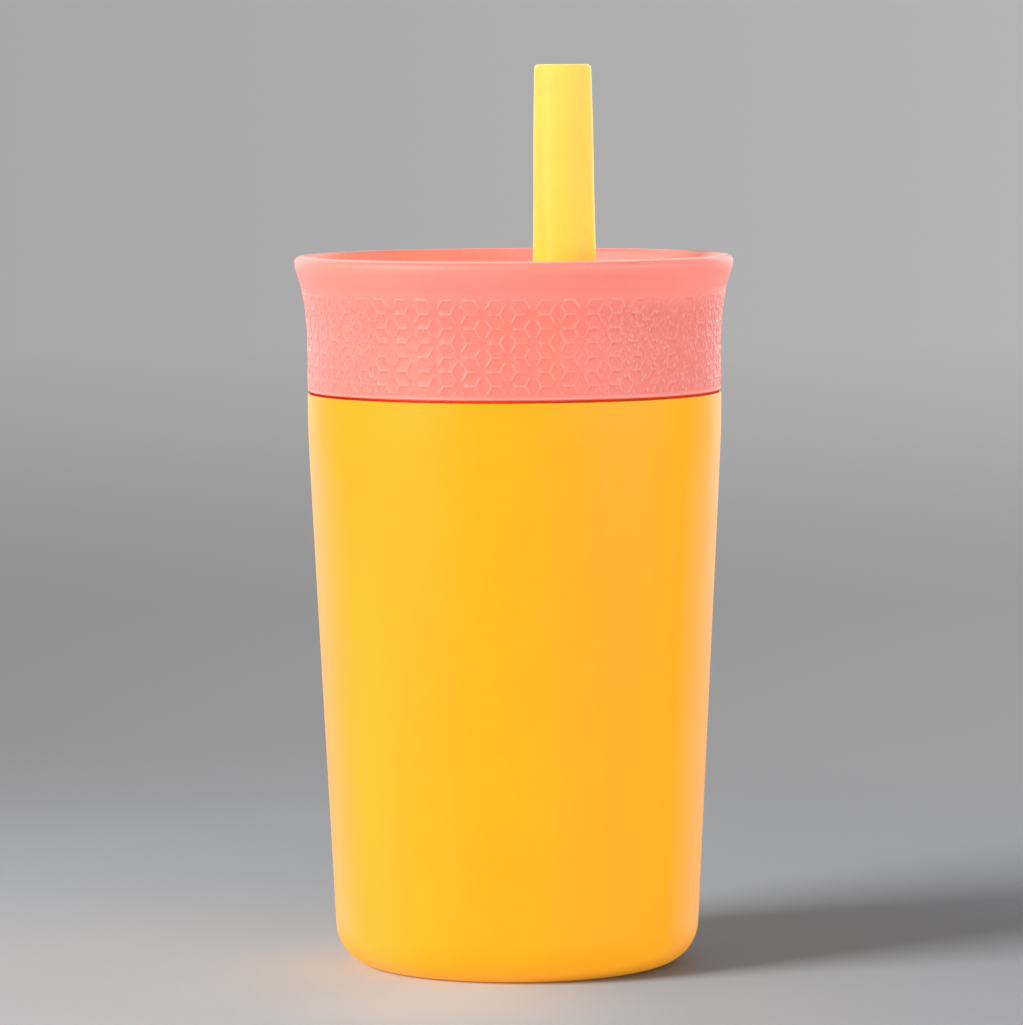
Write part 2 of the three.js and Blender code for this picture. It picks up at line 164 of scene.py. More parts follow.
def catmull(points, per=6):
    """A smooth curve through the points, open at both ends, with per steps a span."""
    given = np.array(points, float)
    ends = np.vstack([2 * given[0] - given[1], given, 2 * given[-1] - given[-2]])
    out = []
    for i in range(1, len(ends) - 2):
        near = ends[i - 1 : i + 3]
        knots = [0.0]
        for here, after in zip(near, near[1:]):
            knots.append(knots[-1] + max(1e-6, float(np.linalg.norm(after - here))) ** 0.5)
        for j in range(per):
            at = knots[1] + (knots[2] - knots[1]) * j / per

            def between(a, b, k0, k1):
                return (k1 - at) / (k1 - k0) * a + (at - k0) / (k1 - k0) * b

            level = near
            for reach in (1, 2):
                level = [
                    between(level[k], level[k + 1], knots[k], knots[k + reach])
                    for k in range(4 - reach)
                ]
            out.append(tuple(between(level[0], level[1], knots[1], knots[2])))
    out.append(tuple(ends[-2]))
    return out


def spans(profile):
    """Neighbouring points, the last back to the first on a ring."""
    return list(zip(profile, profile[1:])) + [(profile[-1], profile[0])] * is_ring(profile)


def dense(profile, longest):
    """Splits spans longer than longest."""
    out = []
    for start, end in spans(profile):
        start, end = np.array(start), np.array(end)
        parts = max(1, math.ceil(np.linalg.norm(end - start) / longest))
        out += [tuple(start + (end - start) * j / parts) for j in range(parts)]
    if not is_ring(profile):
        out.append(tuple(profile[-1]))
    return out


# ---------------------------------------------------------------- mesh helpers


def smooth(mesh, sharp):
    """Shades smooth, except over edges turning more than sharp degrees."""
    mesh.polygons.foreach_set("use_smooth", [True] * len(mesh.polygons))
    mesh.set_sharp_from_angle(angle=math.radians(sharp))
    mesh.update()


def finish_mesh(name, verts_mm, faces, sharp=42.0):
    mesh = bpy.data.meshes.new(name)
    mesh.from_pydata((np.asarray(verts_mm, float) * MM).tolist(), [], faces)
    bm = bmesh.new()
    bm.from_mesh(mesh)
    bmesh.ops.recalc_face_normals(bm, faces=bm.faces)
    bm.to_mesh(mesh)
    bm.free()
    smooth(mesh, sharp)
    ob = bpy.data.objects.new(name, mesh)
    bpy.context.scene.collection.objects.link(ob)
    return ob


def lathe_arrays(profile, segs, closed, phase=0.0):
    """Vertices (mm), faces and rows of vertex numbers of a profile turned about +Z."""
    verts, rows = [], []
    angle = phase + np.arange(segs) * TAU / segs
    cos, sin = np.cos(angle), np.sin(angle)
    for radius, z in np.array(profile, float):
        if abs(radius) < 1e-9:
            rows.append([len(verts)])
            verts.append((0.0, 0.0, z))
        else:
            rows.append(list(range(len(verts), len(verts) + segs)))
            verts += list(zip(radius * cos, radius * sin, [z] * segs))
    faces = []
    for a, b in list(zip(rows, rows[1:])) + ([(rows[-1], rows[0])] if closed else []):
        for j in range(segs):
            k = (j + 1) % segs
            if len(a) == 1:
                faces.append((a[0], b[j], b[k]))
            elif len(b) == 1:
                faces.append((a[j], b[0], a[k]))
            else:
                faces.append((a[j], b[j], b[k], a[k]))
    return np.array(verts, float), faces, rows


def lathe(name, profile, segs, centre=(0.0, 0.0), warp=None, sharp=42.0, phase=0.0):
    verts, faces, _ = lathe_arrays(profile, segs, is_ring(profile), phase)
    if warp is not None:
        verts = warp(verts)
    return finish_mesh(name, verts + np.array([*centre, 0.0]), faces, sharp)


def boolean(target, cutter, operation):
    """Applies a boolean to target and removes the cutter."""
    mod = target.modifiers.new("cut", "BOOLEAN")
    mod.operation = operation
    mod.solver = "EXACT"
    mod.object = cutter
    graph = bpy.context.evaluated_depsgraph_get()
    made = bpy.data.meshes.new_from_object(target.evaluated_get(graph), depsgraph=graph)
    target.modifiers.remove(mod)
    old = target.data
    target.data = made
    bpy.data.meshes.remove(old)
    data = cutter.data
    bpy.data.objects.remove(cutter)
    bpy.data.meshes.remove(data)


# ---------------------------------------------------------------- node helpers

FALL = (1.0, 0.0)  # a ramp that goes down instead of up


class Nodes:
    """A node tree with one shader at its output and short calls for the nodes used here."""

    def __init__(self, owner, output, shader):
        owner.use_nodes = True
        self.tree = owner.node_tree
        self.tree.nodes.clear()
        self.out = self.new(output)
        self.shader = self.new(shader)
        self.put(self.out.inputs[0], self.shader.outputs[0])

    def put(self, socket, value):
        """Links a socket or sets a value; colours are opaque."""
        if isinstance(value, bpy.types.NodeSocket):
            self.tree.links.new(value, socket)
        elif socket.type == "RGBA":
            socket.default_value = (*value[:3], 1.0)
        else:
            socket.default_value = value

    def fill(self, node, **inputs):
        for key, value in inputs.items():
            self.put(node.inputs[key.replace("_", " ")], value)
        return node

    def new(self, kind, **inputs):
        return self.fill(self.tree.nodes.new("ShaderNode" + kind), **inputs)

    def set(self, **inputs):
        self.fill(self.shader, **inputs)

    def math(self, operation, a, b=0.0, clamp=False):
        node = self.new("Math")
        node.operation = operation
        node.use_clamp = clamp
        self.put(node.inputs[0], a)
        self.put(node.inputs[1], b)
        return node.outputs[0]

    def times(self, a, b, clamp=False):
        return self.math("MULTIPLY", a, b, clamp)

    def plus(self, a, b):
        return self.math("ADD", a, b)

    def minus(self, a, b, clamp=False):
        return self.math("SUBTRACT", a, b, clamp)

    def ramp(self, value, over=(0.3, 0.7), to=(0.0, 1.0), smooth=True):
        """Maps the range over onto the range to."""
        node = self.new("MapRange")
        node.interpolation_type = "SMOOTHSTEP" if smooth else "LINEAR"
        node.clamp = True
        self.fill(
            node, Value=value, From_Min=over[0], From_Max=over[1], To_Min=to[0], To_Max=to[1]
        )
        return node.outputs[0]

    def mix(self, factor, a, b, blend="MIX"):
        node = self.new("Mix")
        node.data_type = "RGBA"
        node.blend_type = blend
        node.clamp_factor = True
        for socket, value in ((0, factor), (6, a), (7, b)):
            self.put(node.inputs[socket], value)
        return node.outputs[2]

    def colour_ramp(self, factor, over, stops):
        """Colours at places along over, for a factor that runs from 0 to 1 along it."""
        node = self.new("ValToRGB")
        lo, hi = over
        while len(node.color_ramp.elements) < len(stops):
            node.color_ramp.elements.new(0.5)
        for element, (at, colour) in zip(node.color_ramp.elements, stops):
            element.position = (at - lo) / (hi - lo)
            element.color = (*colour, 1.0)
        self.put(node.inputs[0], factor)
        return node.outputs[0]

    def across(self, colour):
        """The backdrop is a little brighter towards the right of the view."""
        window = self.new("SeparateXYZ", Vector=self.new("TexCoord").outputs["Window"])
        light = self.ramp(window.outputs[0], over=(0.0, 1.0), to=(0.93, 1.09), smooth=False)
        node = self.new("VectorMath")
        node.operation = "SCALE"
        self.put(node.inputs[0], colour)
        self.put(node.inputs["Scale"], light)
        return node.outputs[0]


class Material(Nodes):
    def __init__(self, name, slot=None):
        self.material = bpy.data.materials.new(name)
        self.slot = slot
        super().__init__(self.material, "OutputMaterial", "BsdfPrincipled")
        self.coord = self.new("TexCoord").outputs["Object"]

    @cached_property
    def place(self):
        """The sockets of x, y and z."""
        return tuple(self.new("SeparateXYZ", Vector=self.coord).outputs)

    def noise(self, scale, detail=2.0, rough=0.5, vector=None):
        vector = vector or self.coord
        node = self.new("TexNoise", Scale=scale, Detail=detail, Roughness=rough, Vector=vector)
        return node.outputs["Fac"]

    def voronoi(self, scale, vector=None, feature="F1", randomness=1.0):
        node = self.new("TexVoronoi")
        node.feature = feature
        self.fill(node, Scale=scale, Randomness=randomness, Vector=vector or self.coord)
        return node.outputs["Distance"]

    def vector(self, x, y, z):
        return self.new("CombineXYZ", X=x, Y=y, Z=z).outputs[0]

    def scaled(self, vector, factors):
        node = self.new("VectorMath")
        node.operation = "MULTIPLY"
        self.put(node.inputs[0], vector)
        self.put(node.inputs[1], factors)
        return node.outputs[0]

    def stops(self, value, over, stops):
        """Colours at places along a value, blended in between."""
        return self.colour_ramp(self.ramp(value, over, smooth=False), over, stops)

    def bump(self, height, distance, strength, normal=None):
        node = self.new("Bump", Strength=strength, Distance=distance, Height=height)
        if normal is not None:
            self.put(node.inputs["Normal"], normal)
        return node.outputs[0]

    def attribute(self, name):
        node = self.new("Attribute")
        node.attribute_type = "GEOMETRY"
        node.attribute_name = name
        return node.outputs["Fac"]

    def radius(self):
        """Distance from the cup's axis."""
        x, y, _ = self.place
        return self.math("SQRT", self.plus(self.times(x, x), self.times(y, y)))

    def turn(self):
        return self.math("ARCTAN2", self.place[1], self.place[0])

    def facing(self):
        """0 where the surface faces the eye, 1 at its outline."""
        return self.new("LayerWeight", Blend=0.5).outputs["Facing"]

    def diffuse_ray(self):
        return self.new("LightPath").outputs["Is Diffuse Ray"]

    def give(self, ob):
        ob.data.materials.clear()
        ob.data.materials.append(self.material)


# ---------------------------------------------------------------- materials

# Colours down the painted highlight, a pale streak on the amber coat: (z, colour).
PAINTED_STREAK = [
    (0.008, (1.0, 0.405, 0.0205)), (0.034, (1.0, 0.436, 0.0215)), (0.066, (1.0, 0.430, 0.0205)),
    (0.083, (1.0, 0.410, 0.0190)), (0.106, (1.0, 0.410, 0.0090)),
]
# Painted shade: how much green the amber keeps low down in front: (z, share).
PAINTED_LOW_SHADE = [
    (0.0000, 0.960), (0.0015, 0.955), (0.0064, 0.868), (0.0130, 0.911),
    (0.0190, 0.935), (0.0250, 0.948), (0.0340, 0.988), (0.0400, 1.000),
]
# Painted light and shade across the inside of the coral rim: (x, colour).
RIM_PAINTED_LIGHT = [
    (-0.034, (1.0, 0.365, 0.275)), (-0.028, (1.0, 0.325, 0.218)), (-0.021, (1.0, 0.268, 0.166)),
    (-0.012, (1.0, 0.214, 0.138)), (0.000, (1.0, 0.232, 0.170)), (0.014, (1.0, 0.202, 0.155)),
    (0.024, (1.0, 0.208, 0.161)), (0.030, (1.0, 0.255, 0.203)), (0.036, (1.0, 0.390, 0.305)),
]


def make_amber():
    mat = Material("amber_powder_coat", "amber_coat")
    x, y, z = mat.place
    broad = mat.noise(scale=22.0)
    cloud = mat.noise(scale=130.0, detail=3.0, rough=0.55)
    grain = mat.noise(scale=3400.0, rough=0.6)
    peel = mat.noise(scale=900.0)
    colour = mat.mix(mat.ramp(broad), (0.985, 0.396, 0.001), (1.0, 0.414, 0.002))
    clouded = mat.ramp(cloud, over=(0.35, 0.7), to=(0.0, 0.35))
    colour = mat.mix(clouded, colour, (1.0, 0.428, 0.004))
    grained = mat.ramp(grain, over=(0.35, 0.65), to=(0.0, 0.16))
    colour = mat.mix(grained, colour, (0.94, 0.355, 0.001))
    # a painted highlight: a soft pale streak down the left of the front
    front = mat.ramp(y, over=(-0.012, -0.002), to=FALL)
    leftward = mat.math("DIVIDE", mat.times(x, -1.0), mat.radius())
    streak = mat.times(
        mat.ramp(leftward, over=(0.50, 0.76)), mat.ramp(leftward, over=(0.80, 0.91), to=FALL)
    )
    painted_streak_colours = mat.stops(z, over=(0.0, 0.12), stops=PAINTED_STREAK)
    colour = mat.mix(mat.times(streak, front), colour, painted_streak_colours)
    # painted shade: a deeper amber low down in front
    lower = mat.times(mat.ramp(x, over=(-0.0330, -0.0060)), front)
    deeper = [(at, (1.0, green, 1.0)) for at, green in PAINTED_LOW_SHADE]
    deeper = mat.stops(z, over=(0.0, 0.04), stops=deeper)
    colour = mat.mix(lower, colour, deeper, blend="MULTIPLY")
    # painted sheen: the powder coat is painted paler where it is seen edge-on
    upright = mat.times(
        mat.ramp(z, over=(0.002, 0.010)), mat.ramp(z, over=(0.090, 0.1115), to=(1.0, 0.48))
    )
    edge = mat.times(upright, mat.ramp(mat.facing(), over=(0.44, 0.74), smooth=False))
    colour = mat.mix(edge, colour, (1.0, 0.465, 0.118))
    # the foot ring is rubbed where it meets the table
    low = mat.ramp(z, over=(0.0, 0.0005), to=FALL)
    patches = mat.noise(scale=640.0, detail=4.0, rough=0.65)
    scuff = mat.times(low, mat.ramp(patches, over=(0.44, 0.72)), clamp=True)
    colour = mat.mix(mat.times(scuff, 0.30), colour, (0.66, 0.29, 0.03))
    # less colour is thrown back onto the table, least on the shaded right
    shaded = mat.ramp(x, over=(-0.006, 0.026), to=(0.0, 0.74))
    thrown = mat.times(mat.diffuse_ray(), shaded)
    colour = mat.mix(mat.times(mat.diffuse_ray(), 0.30), colour, (0.55, 0.46, 0.38))
    colour = mat.mix(thrown, colour, (0.0, 0.0, 0.0))
    # rougher where it is scuffed
    rough = mat.plus(mat.ramp(grain, to=(0.46, 0.56)), mat.times(scuff, 0.18))
    normal = mat.bump(peel, distance=0.000035, strength=0.55)
    normal = mat.bump(grain, distance=0.00002, strength=0.6, normal=normal)
    mat.set(Base_Color=colour, Roughness=rough, Normal=normal, IOR=1.34)
    mat.set(Sheen_Weight=0.03, Sheen_Roughness=0.35, Sheen_Tint=(1.0, 0.86, 0.66))
    return mat


def coral_base(mat):
    """The colour and fine grain that both corals share."""
    broad = mat.noise(scale=30.0)
    grain = mat.noise(scale=2600.0, rough=0.55)
    colour = mat.mix(mat.ramp(broad), (0.97, 0.246, 0.188), (0.99, 0.262, 0.200))
    grained = mat.ramp(grain, over=(0.35, 0.65), to=(0.0, 0.12))
    return mat.mix(grained, colour, (0.85, 0.19, 0.145)), grain


def make_rigid_coral():
    mat = Material("coral_moulded", "coral_rigid")
    colour, _ = coral_base(mat)
    spark = mat.noise(scale=1500.0, detail=3.0, rough=0.6)
    normal = mat.bump(spark, distance=0.00004, strength=0.5)
    mat.set(Base_Color=colour, Roughness=mat.ramp(spark, to=(0.36, 0.5)), Normal=normal)
    mat.set(IOR=1.49, Subsurface_Weight=0.06, Subsurface_Scale=0.001)
    mat.set(Subsurface_Radius=(1.0, 0.35, 0.25))
    return mat


def over_hem(low, high):
    """A range of z in metres, from heights in mm over the collar's lower edge."""
    return (COLLAR_Z0 + low) * MM, (COLLAR_Z0 + high) * MM


def pebbles(mat):
    """Height of the pebbled grain laid round the collar."""
    around = mat.times(mat.turn(), 0.0405)  # angle times the collar's radius
    skin = mat.vector(around, 0.0, mat.times(mat.place[2], 0.8))
    stretched = mat.scaled(skin, factors=(1.0, 1.0, 0.72))
    cells = mat.voronoi(scale=2050.0, vector=stretched, feature="SMOOTH_F1", randomness=0.95)
    domes = mat.minus(1.0, mat.times(cells, 1.6), clamp=True)
    return mat.plus(
        mat.times(domes, 0.84), mat.times(mat.noise(scale=3000.0, vector=skin), 0.20)
    )


def make_soft_coral():
    mat = Material("coral_soft_touch", "coral_soft")
    colour, grain = coral_base(mat)
    x, y, z = mat.place
    # painted sheen: paler and pinker where it turns away
    away = mat.ramp(mat.facing(), over=(0.34, 0.66), to=(0.0, 0.26), smooth=False)
    colour = mat.mix(away, colour, (1.0, 0.37, 0.33))
    # pebbled ground between the raised lines, only in the band
    outside = mat.ramp(mat.radius(), over=(0.0398, 0.0401))
    heights = mat.times(
        mat.ramp(z, over=over_hem(0.35, 1.0)), mat.ramp(z, over=over_hem(15.8, 19.9), to=FALL)
    )
    band = mat.times(heights, outside)
    relief = mat.attribute("relief")
    pebble = pebbles(mat)
    # smoother at the front and back, rougher towards the sides
    right = mat.ramp(x, over=(0.0085, 0.0245), smooth=False)
    left = mat.ramp(x, over=(-0.0310, -0.0205), to=FALL)
    flank = mat.plus(left, right)
    side = mat.times(band, mat.ramp(flank, over=(0.0, 1.0), to=(0.20, 1.0), smooth=False))
    # painted shade: the grained ground is a shade deeper than the smooth rim across the middle
    ground = mat.times(
        mat.ramp(x, over=(-0.0355, -0.0215)), mat.ramp(x, over=(0.0100, 0.0270), to=FALL)
    )
    colour = mat.mix(mat.times(band, mat.times(ground, 0.92)), colour, (0.965, 0.202, 0.145))
    # painted shade: the band is darker towards the right
    colour = mat.mix(mat.times(band, mat.times(right, 0.36)), colour, (0.80, 0.212, 0.186))
    # painted shade between the pebbles, painted highlight on top of them
    dark = mat.times(band, mat.plus(mat.times(right, 0.55), mat.times(left, 0.24)))
    dark = mat.times(dark, mat.ramp(pebble, over=(0.35, 0.70), to=FALL))
    colour = mat.mix(dark, colour, (0.82, 0.158, 0.138))
    pale = mat.times(side, mat.ramp(pebble, over=(0.60, 0.88), to=(0.0, 0.80)))
    colour = mat.mix(pale, colour, (0.97, 0.47, 0.43))
    # painted highlight: pale raised lines, fainter at the sides
    painted_line_highlight = mat.ramp(flank, over=(0.0, 1.0), to=(0.54, 0.26), smooth=False)
    colour = mat.mix(mat.times(relief, painted_line_highlight), colour, (0.99, 0.43, 0.36))
    # painted shade: a touch redder towards the left, less bright towards the right
    redder = mat.times(
        mat.ramp(x, over=(-0.002, 0.014), to=FALL), mat.ramp(z, over=(0.1335, 0.1365), to=FALL)
    )
    redder = mat.times(redder, outside)
    colour = mat.mix(redder, colour, (1.0, 0.952, 0.978), blend="MULTIPLY")
    painted_right_shade = mat.times(band, mat.ramp(x, over=(0.006, 0.027)))
    colour = mat.mix(painted_right_shade, colour, (0.95, 1.0, 1.0), blend="MULTIPLY")
    # painted light and shade: the inside of the rim, which leans out by 0.22, is painted lighter
    # and darker across x
    lean = mat.times(mat.minus(z, 0.1265), 0.22)
    within = mat.times(
        mat.ramp(z, over=(0.1265, 0.1280)),
        mat.ramp(mat.minus(mat.radius(), lean), over=(0.0378, 0.0388), to=FALL),
    )
    colour = mat.mix(within, colour, mat.stops(x, over=(-0.04, 0.04), stops=RIM_PAINTED_LIGHT))
    # painted light: the thin wall glows a little, so its shaded parts stay coral
    mat.set(Emission_Color=(1.0, 0.36, 0.28), Emission_Strength=mat.times(within, 0.10))
    # and its crest carries a painted highlight, most in front
    crest = mat.times(
        mat.ramp(z, over=(0.13855, 0.13898)), mat.ramp(y, over=(-0.014, 0.004), to=(1.0, 0.2))
    )
    colour = mat.mix(mat.times(crest, 0.75), colour, (1.0, 0.64, 0.54))
    # painted highlight on the moulded lower edge, painted shade in the gap below it, deep red
    painted_hem_highlight = mat.times(
        mat.ramp(z, over=over_hem(0.02, 0.12)), mat.ramp(z, over=over_hem(0.15, 0.42), to=FALL)
    )
    painted_hem_highlight = mat.times(painted_hem_highlight, mat.ramp(mat.radius(), over=(0.0399, 0.0401)))
    colour = mat.mix(mat.times(painted_hem_highlight, 0.35), colour, (1.0, 0.46, 0.39))
    below = mat.ramp(z, over=over_hem(-0.17, -0.09), to=FALL)
    above = mat.minus(1.0, below)
    rightward = mat.ramp(x, over=(-0.037, -0.016))
    deep = mat.mix(rightward, (0.40, 0.020, 0.002), (0.60, 0.042, 0.006))
    colour = mat.mix(below, colour, deep)
    # the raised lines and the crest of the rim are glossier
    rough = mat.minus(mat.ramp(grain, to=(0.46, 0.58)), mat.times(relief, 0.16))
    rough = mat.minus(rough, mat.times(crest, 0.2))
    normal = mat.bump(grain, distance=0.000018, strength=0.5)
    pebbled = mat.times(pebble, side)
    normal = mat.bump(pebbled, distance=0.00022, strength=0.75, normal=normal)
    mat.set(Base_Color=colour, Roughness=rough, Normal=normal, IOR=1.43)
    mat.set(Subsurface_Weight=mat.times(above, 0.12), Subsurface_Scale=0.0014)
    mat.set(Subsurface_Radius=(1.0, 0.34, 0.26), Sheen_Weight=mat.times(above, 0.16))
    mat.set(Sheen_Roughness=0.4, Sheen_Tint=(1.0, 0.86, 0.82))
    mat.set(Specular_IOR_Level=mat.times(above, 0.5))
    return mat


def make_yellow():
    mat = Material("yellow_silicone", "yellow_soft")
    broad = mat.noise(scale=60.0)
    grain = mat.noise(scale=2800.0, rough=0.55)
    upward = mat.scaled(mat.coord, factors=(1.0, 1.0, 0.12))
    flow = mat.noise(scale=300.0, detail=3.0, vector=upward)
    colour = mat.mix(mat.ramp(broad), (1.0, 0.630, 0.104), (1.0, 0.655, 0.116))
    # painted shade: a touch deeper towards the lid
    painted_shade_near_lid = mat.ramp(mat.place[2], over=(0.131, 0.178), to=FALL)
    colour = mat.mix(painted_shade_near_lid, colour, (1.0, 0.622, 0.060))
    flowing = mat.ramp(flow, over=(0.4, 0.7), to=(0.0, 0.22))
    colour = mat.mix(flowing, colour, (1.0, 0.675, 0.13))
    grained = mat.ramp(grain, over=(0.35, 0.65), to=(0.0, 0.10))
    colour = mat.mix(grained, colour, (0.95, 0.58, 0.07))
    normal = mat.bump(grain, distance=0.000018, strength=0.5)
    mat.set(Base_Color=colour, Roughness=mat.ramp(grain, to=(0.54, 0.66)), Normal=normal)
    mat.set(IOR=1.38, Subsurface_Weight=0.62, Subsurface_Scale=0.0042)
    mat.set(Subsurface_Radius=(1.0, 0.72, 0.30))
    mat.set(Sheen_Weight=0.08, Sheen_Roughness=0.4, Sheen_Tint=(1.0, 0.9, 0.75))
    return mat


def make_steel():
    """Steel brushed round the axis."""
    mat = Material("brushed_steel", "steel")
    tone = 0.60
    radius, z, turn = mat.radius(), mat.place[2], mat.turn()

    def brushed(along, across, detail, rough):
        place = (mat.times(turn, along), mat.times(radius, across), mat.times(z, across))
        return mat.noise(scale=1.0, detail=detail, rough=rough, vector=mat.vector(*place))

    def shade(*shares):
        return [tone * share for share in shares]

    lines = brushed(along=2.2, across=9000.0, detail=3.0, rough=0.7)
    coarse = brushed(along=1.2, across=1700.0, detail=2.0, rough=0.6)
    smudge = mat.noise(scale=75.0, detail=3.0, rough=0.6)
    colour = mat.mix(mat.ramp(lines), shade(0.9, 0.9, 0.91), shade(1.08, 1.08, 1.07))
    smudged = mat.ramp(smudge, over=(0.45, 0.7), to=(0.0, 0.2))
    colour = mat.mix(smudged, colour, shade(0.86, 0.85, 0.83))
    greasy = mat.ramp(smudge, over=(0.45, 0.75), to=(0.0, 0.08))
    rough = mat.plus(mat.ramp(lines, to=(0.22, 0.38)), greasy)
    normal = mat.bump(coarse, distance=0.00001, strength=0.4)
    normal = mat.bump(lines, distance=0.000006, strength=0.5, normal=normal)
    mat.set(Base_Color=colour, Roughness=rough, Normal=normal, Metallic=1.0)
    return mat


def make_milky():
    mat = Material("milky_silicone", "clear_soft")
    grain = mat.noise(scale=1800.0)
    haze = mat.noise(scale=240.0, detail=3.0)
    colour = mat.mix(mat.ramp(haze), (0.74, 0.72, 0.67), (0.82, 0.80, 0.76))
    normal = mat.bump(grain, distance=0.00002, strength=0.5)
    mat.set(Base_Color=colour, Roughness=mat.ramp(grain, to=(0.34, 0.46)), Normal=normal)
    mat.set(IOR=1.42, Subsurface_Weight=0.45, Subsurface_Scale=0.002)
    mat.set(Subsurface_Radius=(1.0, 0.9, 0.8))
    return mat


def make_white():
    mat = Material("moulded_white", "white_rigid")
    spark = mat.noise(scale=1500.0, detail=3.0, rough=0.6)
    broad = mat.noise(scale=180.0)
    colour = mat.mix(mat.ramp(broad), (0.84, 0.82, 0.77), (0.88, 0.86, 0.81))
    normal = mat.bump(spark, distance=0.00003, strength=0.5)
    mat.set(Base_Color=colour, Roughness=mat.ramp(spark, to=(0.36, 0.5)), Normal=normal)
    mat.set(IOR=1.49, Subsurface_Weight=0.1, Subsurface_Scale=0.001)
    mat.set(Subsurface_Radius=(1.0, 0.9, 0.8))
    return mat


def make_solder():
    mat = Material("solder_glass", "solder_glass")
    flow = mat.noise(scale=700.0, detail=3.0)
    flowing = mat.ramp(flow, over=(0.35, 0.65))
    colour = mat.mix(flowing, (0.10, 0.105, 0.09), (0.17, 0.17, 0.15))
    normal = mat.bump(flow, distance=0.00006, strength=0.5)
    mat.set(Base_Color=colour, Roughness=mat.ramp(flow, to=(0.12, 0.3)), Normal=normal, IOR=1.6)
    return mat


def make_getter():
    mat = Material("sintered_getter", "getter_grey")
    pits = mat.voronoi(scale=3200.0)
    colour = mat.mix(mat.ramp(pits, over=(0.1, 0.6)), (0.05, 0.052, 0.056), (0.13, 0.135, 0.14))
    rough = mat.ramp(pits, over=(0.1, 0.6), to=(0.95, 0.75))
    normal = mat.bump(pits, distance=0.00008, strength=0.7)
    mat.set(Base_Color=colour, Roughness=rough, Normal=normal, Metallic=0.2)
    return mat


AMBER = make_amber()
CORAL = make_soft_coral()
CORAL_RIGID = make_rigid_coral()
YELLOW = make_yellow()
STEEL = make_steel()
MILKY = make_milky()
WHITE = make_white()
SOLDER = make_solder()
GETTER = make_getter()


def coat(ob, material, *nodes):
    """Gives an object its material and hides the CAD nodes it stands for."""
    material.give(ob)
    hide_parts(*nodes)


def dress(ob, material, body, node):
    coat(ob, material, node)
    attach(ob, body)


def turned(name, material, body, node, profile, segs, **shape):
    dress(lathe(name, profile, segs, **shape), material, body, node)


# ---------------------------------------------------------------- screw thread

STARTS, LEAD, THREAD_ARC = 3, 12.0, 105.0  # ridges, mm a turn, degrees a ridge
HALF_ROOT, HALF_CREST, FADE = 0.74, 0.34, 9.0  # half widths in mm, end taper in degrees
NECK_THREAD_Z = 115.6
LID_THREAD_Z = NECK_THREAD_Z - 1.65


def thread_height(angle, z, start_z, height):
    """Height of the thread ridges at each angle (radians) and z."""
    best = np.zeros_like(z)
    for k in range(STARTS):
        turn = np.degrees(angle) - 360.0 / STARTS * k
        turn = (turn + 30.0) % 360.0 - 30.0
        off = np.abs(z - (start_z + LEAD * turn / 360.0))
        side = ease((HALF_ROOT - off) / (HALF_ROOT - HALF_CREST))
        ends = np.clip(np.minimum(turn, THREAD_ARC - turn) / FADE, 0, 1)
        ends = np.sqrt(np.clip(1 - (1 - ends) ** 2, 0, 1))
        best = np.maximum(best, height * side * ends)
    return best


def ease(x):
    x = np.clip(x, 0, 1)
    return x * x * (3 - 2 * x)


def threaded(wall_r, start_z, height, outward):
    """A warp that raises the ridges from the wall at wall_r; outward is 1 or -1."""

    def warp(verts):
        radius = np.hypot(verts[:, 0], verts[:, 1])
        angle = np.arctan2(verts[:, 1], verts[:, 0])
        ridge = thread_height(angle, verts[:, 2], start_z, height)
        ridge[np.abs(radius - wall_r) > 0.02] = 0
        scale = (radius + outward * ridge) / np.maximum(radius, 1e-6)
        verts[:, 0] *= scale
        verts[:, 1] *= scale
        return verts

    return warp


def thread_rows(profile, wall_r, z_low, z_high, count):
    """Splits the long straight spans that carry a thread into count rows."""
    rows = []
    for (r0, z0), (r1, z1) in spans(profile):
        rows.append((r0, z0))
        on_wall = abs(r0 - wall_r) < 1e-6 and abs(r1 - wall_r) < 1e-6
        if on_wall and z_low <= min(z0, z1) and max(z0, z1) <= z_high and abs(z1 - z0) > 1:
            rows += [(wall_r, z0 + (z1 - z0) * j / count) for j in range(1, count)]
    if not is_ring(profile):
        rows.append(profile[-1])
    return rows


# ---------------------------------------------------------------- cup

FOOT_IN, FOOT_OUT, FILLET = 24.6, 27.4, 8.2
WALL = 0.7
SHOULDER = COLLAR_Z0 - 0.6
NECK_R, NECK_IN = 36.2, 35.6
NECK_Z0 = SHOULDER - 0.66

wall = rounded(
    [(FOOT_IN, 2.6, 0.25), (FOOT_IN, 0.0, 0.45)]
    + arc(FOOT_OUT, FILLET, FILLET, -90, -3, 26)
    + catmull(
        [
            (35.62, 8.4), (36.02, 16.5), (37.01, 36.5), (38.0, 56.5), (39.0, 76.5),
            (39.93, 95.5), (40.2, 101.5), (40.36, 105.5), (40.4, 108.5),
        ],
        5,
    )
    + [
        (40.4, SHOULDER - 0.01, 0.24), (36.32, SHOULDER, 0.2), (36.32, SHOULDER + 1.15, 0.06),
        (36.22, SHOULDER + 1.2), (36.22, SHOULDER - 0.3), (39.65, SHOULDER - 0.75, 0.4),
        (39.65, 105.0), (39.3, 100.0), (34.9, 8.4),
    ]
    + arc(FOOT_OUT, FILLET, FILLET - WALL, -20, -90, 8)
    + [(FOOT_IN + WALL, WALL, 0.2), (FOOT_IN + WALL, 2.6, 0.25)]
)
turned("cup_wall", AMBER, "cup", "outer_shell", dense(wall, 5.0), 200)

# The neck's thread ridges are part of the turned surface.
neck = rounded(
    [
        (NECK_R, NECK_Z0, 0.1), (NECK_R, 113.6), (NECK_R, 120.9),
        (NECK_R, NECK_TOP, 0.15), (NECK_IN, NECK_TOP, 0.15), (NECK_IN, NECK_Z0, 0.1),
    ]
)
neck = thread_rows(neck, NECK_R, z_low=113.5, z_high=NECK_TOP, count=64)
neck_warp = threaded(NECK_R, NECK_THREAD_Z, height=1.0, outward=1)
turned("cup_neck", STEEL, "cup", "outer_shell", neck, 264, warp=neck_warp)

